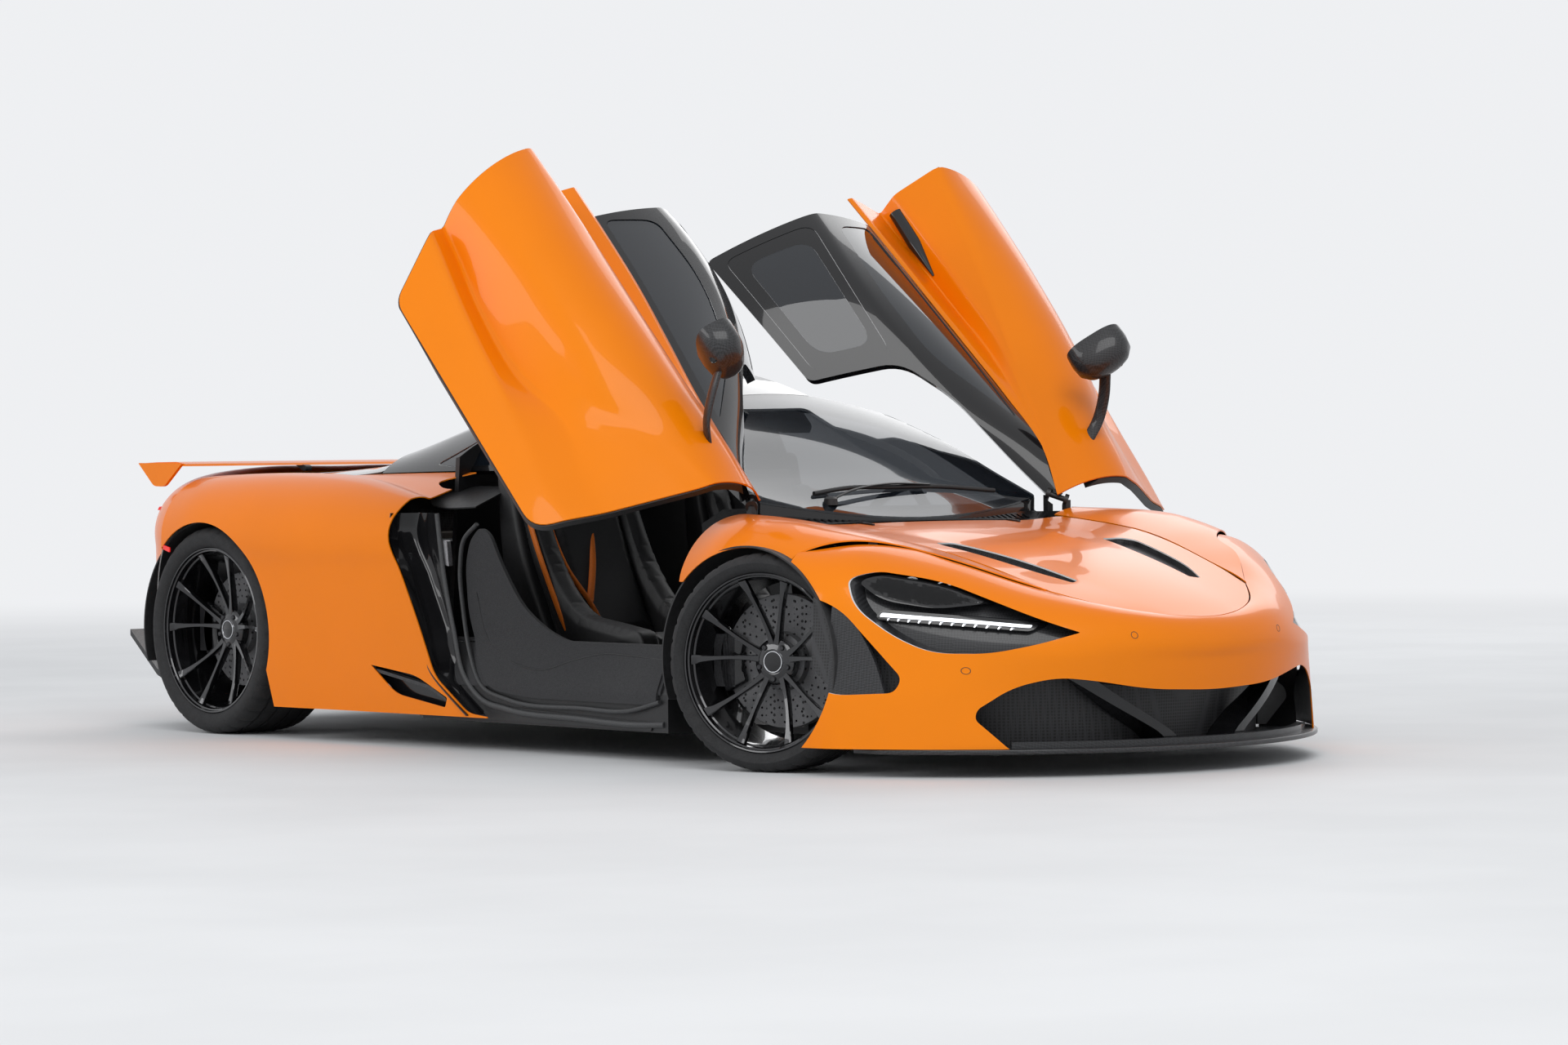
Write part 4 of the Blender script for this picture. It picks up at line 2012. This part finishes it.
    def deck(self) -> None:
        """Build the deck between the haunches, with its louvres."""
        rows = ((3424, ((588, 822), (430, 878), (0, 938))), (3700, ((514.7, 834.5), (380, 852), (0, 885))),
                (3900, ((509.7, 835), (380, 846), (0, 862))), (4300, ((500, 832), (380, 838), (0, 846))))
        stations = [(s, [(-w, z) for w, z in line] + [(w, z) for w, z in line[-2::-1]]) for s, line in rows]
        made = Skin(stations, "LAL", 4.0, across, 100, 16, 6).solid("engine_deck", Finish.GLOSS_BLACK)
        cut(made, prism(rounded(((-511, 3424, 0), (511, 3424, 0), (494, 3900, 60), (494, 4250, 20),
                                 (300, 4296, 40), (-300, 4296, 40), (-494, 4250, 20), (-494, 3900, 60))),
                        *THROUGH_DECK), "INTERSECT")
        slots = [prism(rounded(((-300, s, 14), (300, s, 14), (300, s + 30, 14), (-300, s + 30, 14))),
                       *THROUGH_DECK) for s in range(3520, 4000, 60)]
        cut(made, joined(slots, "tool"))
        hand_over(smooth(made), "chassis", "dark_trim", "rear_deck")

    def dress(self) -> None:
        """Build everything of the tail."""
        self.bumper()
        self.lamps()
        self.pipes()
        self.diffuser()
        self.wing()
        self.deck()


# Wheels


@dataclass
class Wheel:
    """One wheel at the origin, its outer face towards +X, in millimetres."""

    end: str
    radius: float
    width: float
    rim: float
    disc: float
    s: float
    track: float
    steer: float
    pairs: int = 5
    lip: float = 14.0
    dish: float = 72.0
    disc_depth: float = 129.0

    def rim_edge(self) -> float:
        """Outer edge of the rim along the axle."""
        return self.width / 2.0 - self.lip

    def tyre(self) -> bpy.types.Object:
        """Build the tyre with grooves, shoulder blocks and a bead.

        Returns:
            The tyre.
        """
        half, r, seat = self.width / 2.0, self.radius, self.rim
        side = [(seat, half - 16), (seat + 5, half - 10), (seat + 12, half - 4.5),
                ((r + seat) / 2, half - 0.5), (r - 20, half - 4), (r - 11, half - 11), (r - 5, half - 20),
                (r - 2, half - 32)]
        tread = []
        for centre in (0.56, 0.2, -0.2, -0.56):
            x = centre * half
            tread += [(r, x + 6), (r - 7, x + 4.5), (r - 7, x - 4.5), (r, x - 6)]
        line = side + tread + [(a, -b) for a, b in side[::-1]]
        segments, points = 216, []
        count = len(line)
        for i in range(segments):
            turn = 2.0 * math.pi * i / segments
            for j, (rad, x) in enumerate(line):
                shoulder = 5 <= j < 12 or count - 12 <= j < count - 5
                groove = 4.0 if i % 6 == 0 and shoulder and rad > r - 12 else 0.0
                lean = turn + 0.02 * abs(x) / half
                points.append(Vector((x, (rad - groove) * math.cos(lean),
                                      (rad - groove) * math.sin(lean))) * MM)
        return smooth(new_object("tyre", points, ring_faces(segments, count), Finish.TYRE), 28.0)

    def barrel(self) -> bpy.types.Object:
        """Build the rim's barrel with its stepped lip."""
        half, r = self.rim_edge(), self.rim
        line = [(r, half), (r - 3, half + 2), (r - 7, half + 1), (r - 9, half - 6), (r - 13, half - 9),
                (r - 15, half - 26), (r - 19, half - 30), (r - 21, half - 60), (r - 30, half - 90),
                (r - 30, -half + 30), (r - 16, -half + 10), (r - 7, -half), (r, -half), (r - 2, -half + 14),
                (r - 22, -half + 34), (r - 24, half - 86), (r - 8, half - 40), (r - 3, half - 14)]
        return smooth(ring_solid("barrel", line, Finish.RIM_BLACK, 120), 30.0)

    def spoke(self, turn: float, lean: float) -> bpy.types.Object:
        """Build one thin spoke.

        Args:
            turn: Angle of the spoke's pair, in degrees.
            lean: -1 or 1 for the spoke's side of its pair.

        Returns:
            The spoke.
        """
        face, sunk = self.rim_edge() - 12.0, self.rim_edge() - self.dish
        reach = self.rim - 17.0
        points, steps = [], 22
        for i in range(steps):
            t = i / (steps - 1)
            r = 50.0 + (reach - 50.0) * t
            angle = math.radians(turn + lean * (8.5 + 8.5 * t ** 0.7))
            x = sunk + (face - sunk) * (t ** 1.55)
            wide = 10.5 - 4.6 * math.sin(math.pi * min(1.0, t * 1.1)) + (3.0 * max(0.0, t - 0.86) / 0.14)
            deep = 26.0 - 8.0 * t
            out = Vector((0.0, math.cos(angle), math.sin(angle)))
            side = Vector((0.0, -math.sin(angle), math.cos(angle)))
            spot = out * r + Vector((x, 0.0, 0.0))
            section = ((-0.78, 0.0), (-1.0, -0.12), (-1.0, -0.9), (-0.8, -1.0), (0.8, -1.0), (1.0, -0.9),
                       (1.0, -0.12), (0.78, 0.0))
            points += [(spot + side * (u * wide) + Vector((v * deep, 0.0, 0.0))) * MM for u, v in section]
        return smooth(new_object("spoke", points, ring_faces(steps, 8, False), Finish.RIM_BLACK), 40.0)

    def hub(self) -> list[bpy.types.Object]:
        """Build the sunken hub, its bare cap and the wheel bolts.

        Returns:
            The parts, still to be joined.
        """
        sunk = self.rim_edge() - self.dish
        line = [(31.0, sunk - 42), (64.0, sunk - 42), (66.0, sunk - 10), (60.0, sunk - 3), (44.0, sunk + 2),
                (36.0, sunk + 4), (31.0, sunk + 2)]
        ring = smooth(ring_solid("hub", line, Finish.RIM_BLACK, 72), 30.0)
        cap_line = [(0.1, sunk + 5), (20.0, sunk + 4.6), (25.0, sunk + 3.4), (27.0, sunk + 3.2),
                    (27.0, sunk - 6), (0.1, sunk - 6)]
        cap = smooth(ring_solid("cap", cap_line, Finish.GLOSS_BLACK, 60), 30.0)
        silver_line = [(27.2, sunk + 3.6), (28.2, sunk + 5.6), (30.4, sunk + 5.6), (31.4, sunk + 3.8),
                       (31.4, sunk - 4), (27.2, sunk - 4)]
        silver = smooth(ring_solid("silver", silver_line, Finish.SILVER, 60), 30.0)
        parts = [ring, cap, silver]
        for k in range(5):
            turn = 2 * math.pi * (k + 0.5) / 5 + math.pi / 2
            bolt_line = [(0.1, 5.0), (6.0, 5.0), (7.5, 3.0), (8.5, -8.0), (0.1, -8.0)]
            bolt = smooth(ring_solid("bolt", bolt_line, Finish.DARK_ALLOY, 12), 30.0)
            bolt.data.transform(Matrix.Translation(Vector((sunk + 1.0, 49.0 * math.cos(turn),
                                                           49.0 * math.sin(turn))) * MM))
            parts.append(bolt)
        return parts

    def rotor(self) -> bpy.types.Object:
        """Build the drilled disc on its bell.

        Returns:
            The disc.
        """
        face = self.disc_face()
        r = self.disc
        line = [(85.0, face), (96.0, face), (r - 2, face), (r, face - 2), (r, face - 12),
                (r - 1, face - 13), (r - 1, face - 17), (r, face - 18), (r, face - 28), (r - 2, face - 30),
                (60.0, face - 30), (31.0, face - 30), (31.0, face + 22), (62.0, face + 22), (80.0, face + 20)]
        made = ring_solid("rotor", line, Finish.DISC, 96)
        holes = []
        for k in range(28):
            for row, reach in enumerate((r - 18, r - 38, r - 58, r - 78)):
                turn = 2 * math.pi * (k + 0.28 * row) / 28
                ring = [((reach * math.cos(turn) + 3.6 * math.cos(t)),
                         (reach * math.sin(turn) + 3.6 * math.sin(t)))
                        for t in np.linspace(0, 2 * math.pi, 10, False)]
                points = [Vector((x, y, z)) * MM for x in (face - 9.0, face + 4.0) for y, z in ring]
                holes.append(new_object("hole", points, box_faces(10)))
        return smooth(cut(made, joined(holes, "tool")), 30.0)

    def disc_face(self) -> float:
        """Outer face of the disc along the axle."""
        return self.rim_edge() - self.disc_depth

    def caliper(self) -> bpy.types.Object:
        """Build the caliper round the rear edge of the disc.

        Returns:
            The caliper.
        """
        face, r = self.disc_face(), self.disc
        turns = np.radians(np.linspace(-27.0, 27.0, 15))
        outer = [((r + 14) * math.cos(t), (r + 14) * math.sin(t)) for t in turns]
        inner = [((r - 62) * math.cos(t), (r - 62) * math.sin(t)) for t in turns[::-1]]
        ring = outer + inner
        points = [Vector((x, y, z)) * MM for x in (face - 52.0, face + 22.0) for y, z in ring]
        made = bevelled(new_object("caliper", points, box_faces(len(ring)), Finish.GLOSS_BLACK), 0.007, 3)
        slot = ring_solid("tool", [(60.0, face - 34), (r + 4, face - 34), (r + 4, face + 4),
                                   (60.0, face + 4)], Finish.GLOSS_BLACK, 96)
        return smooth(cut(made, slot), 30.0)

    def placed(self, made: bpy.types.Object, side: Side) -> bpy.types.Object:
        """Put a wheel's piece on its axle.

        Args:
            made: The piece at the origin.
            side: The side of the car.

        Returns:
            The piece.
        """
        if side is Side.RIGHT:
            made.data.transform(Matrix.Scale(-1.0, 4, (1.0, 0.0, 0.0)))
            made.data.flip_normals()
        made.data.transform(Matrix.Translation(at(side.value * self.track, self.s, self.radius)))
        made.data.transform(about(at(side.value * KINGPIN_W, self.s, self.radius), turned(self.steer, "Z")))
        return made

    def dress(self, side: Side) -> None:
        """Build the wheel on one side of the car.

        Args:
            side: The side.
        """
        key = self.end + "_" + side.word
        body = "wheel_" + key
        tyre = self.placed(self.tyre(), side)
        tyre.name = "tyre_tread_" + key
        hand_over(tyre, body, "tyre", "tyre_" + key)
        parts = [self.barrel(), *self.hub()]
        for pair in range(self.pairs):
            for lean in (-1.0, 1.0):
                parts.append(self.spoke(360.0 / self.pairs * pair + 90.0, lean))
        rim = self.placed(joined(parts, "rim_spokes_" + key), side)
        hand_over(rim, body, "rim_black", "rim_" + key)
        rotor = self.placed(self.rotor(), side)
        rotor.name = "rotor_" + key
        hand_over(rotor, body, "brake_disc", "disc_" + key)
        caliper = self.placed(self.caliper(), side)
        caliper.name = "caliper_" + key
        hand_over(caliper, "knuckle_" + side.word if self.end == "front" else "chassis", "arm_metal")


# Cabin


@dataclass
class Cabin:
    """What shows inside: sill covers, steering wheel and seats."""

    wheel_w: float = 375.0
    wheel_s: float = 1905.0
    wheel_z: float = 640.0
    tilt: float = 24.0
    ratio: float = 13.0
    pads: tuple[tuple[str, Corners, float, float], ...] = (
        ("seat_base", ((2010, 304, 20), (2340, 262, 60), (2378, 290, 30), (2340, 318, 40), (2020, 352, 30)),
         240, 520),
        ("seat_back", ((2392, 300, 20), (2548, 560, 150), (2624, 850, 40), (2580, 850, 30), (2500, 600, 150),
                       (2356, 330, 30)), 240, 520),
        ("seat_bolster_outer", ((1990, 306, 20), (2300, 280, 60), (2410, 320, 60), (2556, 600, 100),
                                (2616, 800, 30), (2560, 790, 30), (2452, 560, 120), (2310, 412, 80),
                                (2010, 362, 30)), 532, 598),
        ("seat_bolster_inner", ((1990, 306, 20), (2300, 280, 60), (2410, 320, 60), (2556, 600, 100),
                                (2616, 800, 30), (2560, 790, 30), (2452, 560, 120), (2310, 412, 80),
                                (2010, 362, 30)), 162, 228))
    bands: tuple[Corners, ...] = (
        ((609, 2548, 740), (610, 2498, 629), (610, 2409, 461), (604, 2349, 347)),
        ((536, 2560, 760), (534, 2517, 667), (522, 2453, 546), (478, 2397, 442), (448, 2328, 311)),
        ((350, 2570, 770), (370, 2530, 692), (412, 2463, 566), (476, 2398, 446)))

    def sill_cover(self) -> None:
        """Build the suede cover on each sill with its stitched line."""
        section = ((700, 182), (716, 226), (740, 294), (757, 334), (768, 340), (796, 340), (808, 334),
                   (838, 270), (866, 206), (866, 198), (858, 198), (802, 328), (762, 328), (704, 180))
        s0, s1 = 1600.0, 2690.0
        points = [at(w, s, z) for s in (s0, s1) for w, z in section]
        made = smooth(new_object("cover", points, box_faces(len(section)), Finish.SUEDE), 50.0)
        line = [(812, s, 329) for s in np.linspace(s0 + 20, s1 - 20, 120)]
        stitch = tube("stitch", line, 1.3, Finish.SILVER, 1.0, 6)
        pair(joined([made, stitch], "sill_cover_left"), "cabin_trim")

    def steering(self) -> None:
        """Build the steering wheel with its padded rim."""
        parts = []
        turns = np.linspace(0, 2 * math.pi, 72, False)
        ring = [(self.wheel_w + 172 * math.cos(t), self.wheel_s,
                 self.wheel_z + max(172 * math.sin(t), -124.0)) for t in turns]
        parts.append(tube("rim", ring, 15.0, Finish.BLACK_SUEDE, 1.15, 16, True))
        pad = rounded(((-62, 52, 30), (62, 52, 30), (70, -10, 30), (30, -66, 24), (-30, -66, 24),
                       (-70, -10, 30)))
        parts.append(prism([(self.wheel_w + x, self.wheel_z + z) for x, z in pad], self.wheel_s - 12,
                           self.wheel_s + 20, "y", "pad", Finish.LEATHER))
        for ends in (((50, 14), (160, 24)), ((-50, 14), (-160, 24)), ((0, -50), (0, -122))):
            line = [(self.wheel_w + x, self.wheel_s + 2, self.wheel_z + z) for x, z in ends]
            parts.append(tube("spoke", curve_through(line, 10), 18.0, Finish.DARK_ALLOY, 0.4, 12))
        made = joined(parts, "steering_wheel_rim")
        pivot = at(self.wheel_w, self.wheel_s, self.wheel_z)
        tilt = turned(self.tilt, "X")
        made.data.transform(about(pivot, tilt @ turned(STEER_ANGLE * self.ratio, "Y")))
        line = [(21.9, -20.0), (21.9, -178.0), (0.1, -178.0), (0.1, -20.0)]
        column = ring_solid("column", line, Finish.DARK_ALLOY, 32)
        column.data.transform(Matrix.Translation(pivot) @ tilt @ turned(90.0, "Z"))
        hand_over(joined([made, column], "steering_wheel_whole"), "steering_wheel", "cabin_trim",
                  "steering_wheel")

    def seat(self) -> None:
        """Build both seats: hard shell, crowned cushions and the two bright bands."""
        outline = rounded(((1960, 250, 20), (2000, 300, 30), (2380, 240, 80), (2560, 560, 200),
                           (2640, 900, 60), (2700, 900, 30), (2680, 560, 200), (2560, 180, 60),
                           (2500, 120, 20), (2050, 120, 20), (1980, 150, 30)))
        shell = prism(outline, 150, 610, "x", "seat_shell_left", Finish.LEATHER)
        pair(smooth(bevelled(shell, 0.02, 4)), "seat_cloth", "seat")
        for name, outline, low, high in self.pads:
            left = swollen(prism(rounded(outline), low, high, "x", name + "_left", Finish.LEATHER), 12.0)
            for pad in (mirrored(left, name + "_right"), left):
                hand_over(smooth(pad, 60.0), "chassis", "seat_cloth")
        parts = [tube("band", curve_through(line, 24), 11.0, Finish.ORANGE_HIDE, 0.5, 10)
                 for line in self.bands]
        pair(joined(parts, "seat_bands_left"), "seat_cloth")

    def dress(self) -> None:
        """Build everything in the cabin."""
        self.sill_cover()
        self.steering()
        self.seat()


@dataclass
class CarriedNodes:
    """Finishes of the part's own nodes that stay in view."""

    finishes: tuple[tuple[str, Finish], ...] = (
        ("tub", Finish.SATIN_BLACK), ("dashboard", Finish.BLACK_SUEDE), ("engine", Finish.DARK_ALLOY),
        ("luggage_tray", Finish.CARPET), ("front_suspension", Finish.DARK_ALLOY),
        ("rear_suspension", Finish.DARK_ALLOY), ("knuckle_right", Finish.DARK_ALLOY),
        ("knuckle_left", Finish.DARK_ALLOY))

    def dress(self, nodes: dict[str, bpy.types.Object]) -> None:
        """Give each node its finish.

        Args:
            nodes: The part's nodes by name.
        """
        for name, finish in self.finishes:
            mesh = nodes[name].data
            if not mesh.materials:
                mesh.materials.append(None)
            for index in range(len(mesh.materials)):
                mesh.materials[index] = Paintbox.get(finish)
            LOG.info("%s keeps the part's own mesh", name)


# The photograph's room


def seen_rays(tree: bpy.types.NodeTree) -> bpy.types.NodeSocket:
    """Factor that is one for camera, glossy and transmission rays.

    Args:
        tree: The node tree that it is added to.

    Returns:
        The value socket.
    """
    path = tree.nodes.new("ShaderNodeLightPath")
    total = path.outputs["Is Camera Ray"]
    for name in ("Is Glossy Ray", "Is Transmission Ray"):
        adder = tree.nodes.new("ShaderNodeMath")
        adder.operation = "MAXIMUM"
        tree.links.new(total, adder.inputs[0])
        tree.links.new(path.outputs[name], adder.inputs[1])
        total = adder.outputs["Value"]
    return total


@dataclass
class Studio:
    """Pale floor, soft lights and the camera."""

    eye: tuple[float, float, float] = (-9.4616, -10.9256, 0.9218)
    forward: tuple[float, float, float] = (0.66299, 0.74845, -0.01669)
    roll: float = -0.533
    focal: float = 5628.2
    image: tuple[int, int] = (1920, 1280)
    backdrop: tuple[float, float, float] = (0.86, 0.87, 0.89)

    def camera(self) -> None:
        """Place the camera where the photograph was taken from."""
        ahead = Vector(self.forward).normalized()
        right = ahead.cross(Vector((0.0, 0.0, 1.0))).normalized()
        up = right.cross(ahead)
        turn = math.radians(self.roll)
        across_image = right * math.cos(turn) + up * math.sin(turn)
        upward = up * math.cos(turn) - right * math.sin(turn)
        lens = bpy.data.cameras.new("camera")
        lens.sensor_width = 36.0
        lens.lens = self.focal / self.image[0] * 36.0
        lens.clip_end = 200.0
        holder = bpy.data.objects.new("camera", lens)
        bpy.context.scene.collection.objects.link(holder)
        holder.matrix_world = Matrix.Translation(Vector(self.eye)) @ Matrix(
            (across_image, upward, -ahead)).transposed().to_4x4()
        bpy.context.scene.camera = holder

    def floor(self) -> None:
        """Lay the pale floor, which runs into the backdrop's colour far from the car."""
        nodes = Nodes("pale_floor")
        grain = nodes.ramp(nodes.noise(1.2), (0.74, 0.75, 0.76), (0.78, 0.79, 0.8), 0.35, 0.65)
        nodes.join(grain, nodes.shader.inputs["Base Color"])
        nodes.set(Roughness=0.75)
        length = nodes.add("VectorMath", operation="LENGTH")
        nodes.join(nodes.place(1.0), length.inputs[0])
        far = nodes.add("MapRange", interpolation_type="SMOOTHSTEP")
        far.inputs["From Min"].default_value = 4.5
        far.inputs["From Max"].default_value = 15.0
        nodes.join(length.outputs["Value"], far.inputs["Value"])
        share = nodes.add("Math", operation="MULTIPLY")
        nodes.join(far.outputs["Result"], share.inputs[0])
        nodes.join(seen_rays(nodes.tree), share.inputs[1])
        glow = nodes.add("Emission")
        glow.inputs["Color"].default_value = (*self.backdrop, 1.0)
        mix = nodes.add("MixShader")
        nodes.join(share.outputs["Value"], mix.inputs["Fac"])
        nodes.join(nodes.shader.outputs["BSDF"], mix.inputs[1])
        nodes.join(glow.outputs["Emission"], mix.inputs[2])
        nodes.join(mix.outputs["Shader"], nodes.output.inputs["Surface"])
        mesh = bpy.data.meshes.new("floor")
        count, reach = 24, 90.0
        spots = np.linspace(-reach, reach, count)
        points = [(x, y, 0.0) for y in spots for x in spots]
        faces = [(j * count + i, j * count + i + 1, (j + 1) * count + i + 1, (j + 1) * count + i)
                 for j in range(count - 1) for i in range(count - 1)]
        mesh.from_pydata(points, [], faces)
        mesh.materials.append(nodes.material)
        made = bpy.data.objects.new("floor", mesh)
        bpy.context.scene.collection.objects.link(made)

    def light(self, name: str, place: Sequence[float], aim: Sequence[float], size: Sequence[float],
              power: float) -> None:
        """Hang one soft light.

        Args:
            name: The light's name.
            place: Where it hangs.
            aim: What it points at.
            size: Its two sides in metres.
            power: Its power in watts.
        """
        lamp = bpy.data.lights.new(name, "AREA")
        lamp.shape = "RECTANGLE"
        lamp.size, lamp.size_y = size
        lamp.energy = power
        holder = bpy.data.objects.new(name, lamp)
        bpy.context.scene.collection.objects.link(holder)
        way = Vector(place) - Vector(aim)
        aimed = way.to_track_quat("Z", "Y").to_matrix().to_4x4()
        holder.matrix_world = Matrix.Translation(Vector(place)) @ aimed

    def world(self) -> None:
        """Fill the room with even pale light."""
        world = bpy.data.worlds.new("studio")
        bpy.context.scene.world = world
        world.use_nodes = True
        tree = world.node_tree
        tree.nodes.clear()
        output = tree.nodes.new("ShaderNodeOutputWorld")
        fill = tree.nodes.new("ShaderNodeBackground")
        fill.inputs["Color"].default_value = (0.95, 0.97, 1.0, 1.0)
        fill.inputs["Strength"].default_value = 0.54
        seen = tree.nodes.new("ShaderNodeBackground")
        seen.inputs["Color"].default_value = (*self.backdrop, 1.0)
        seen.inputs["Strength"].default_value = 1.0
        mix = tree.nodes.new("ShaderNodeMixShader")
        tree.links.new(seen_rays(tree), mix.inputs["Fac"])
        tree.links.new(fill.outputs["Background"], mix.inputs[1])
        tree.links.new(seen.outputs["Background"], mix.inputs[2])
        tree.links.new(mix.outputs["Shader"], output.inputs["Surface"])

    def build(self) -> None:
        """Build the whole room."""
        self.camera()
        self.floor()
        self.world()
        self.light("key", (-6.0, -8.0, 9.0), (0.0, 0.0, 0.4), (9.0, 6.0), 540.0)
        self.light("rim", (7.5, 4.0, 7.0), (0.0, 0.3, 0.5), (6.0, 8.0), 260.0)
        self.light("side", (-9.5, 3.0, 5.0), (0.0, 0.2, 0.5), (7.0, 3.0), 220.0)
        bpy.context.scene.view_settings.view_transform = "Standard"


def main() -> None:
    """Dress the whole car."""
    logging.basicConfig(level=logging.INFO, format="%(message)s")
    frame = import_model()
    CarriedNodes().dress(frame["nodes"])
    Nose().dress()
    Splitter().dress()
    Bonnet().dress()
    Fender().dress()
    ArchLiner().dress()
    glasshouse = Glasshouse()
    glasshouse.dress()
    Door().dress(glasshouse.skin())
    Quarter().dress()
    Tail().dress()
    front = Wheel("front", 310.0, 240.0, 256.0, 192.0, FRONT_AXLE, HALF_FRONT_TRACK, STEER_ANGLE)
    rear = Wheel("rear", 338.0, 296.0, 271.0, 186.0, REAR_AXLE, HALF_REAR_TRACK, 0.0)
    for side in Side:
        front.dress(side)
        rear.dress(side)
    Cabin().dress()
    Studio().build()


if __name__ == "__main__":
    main()
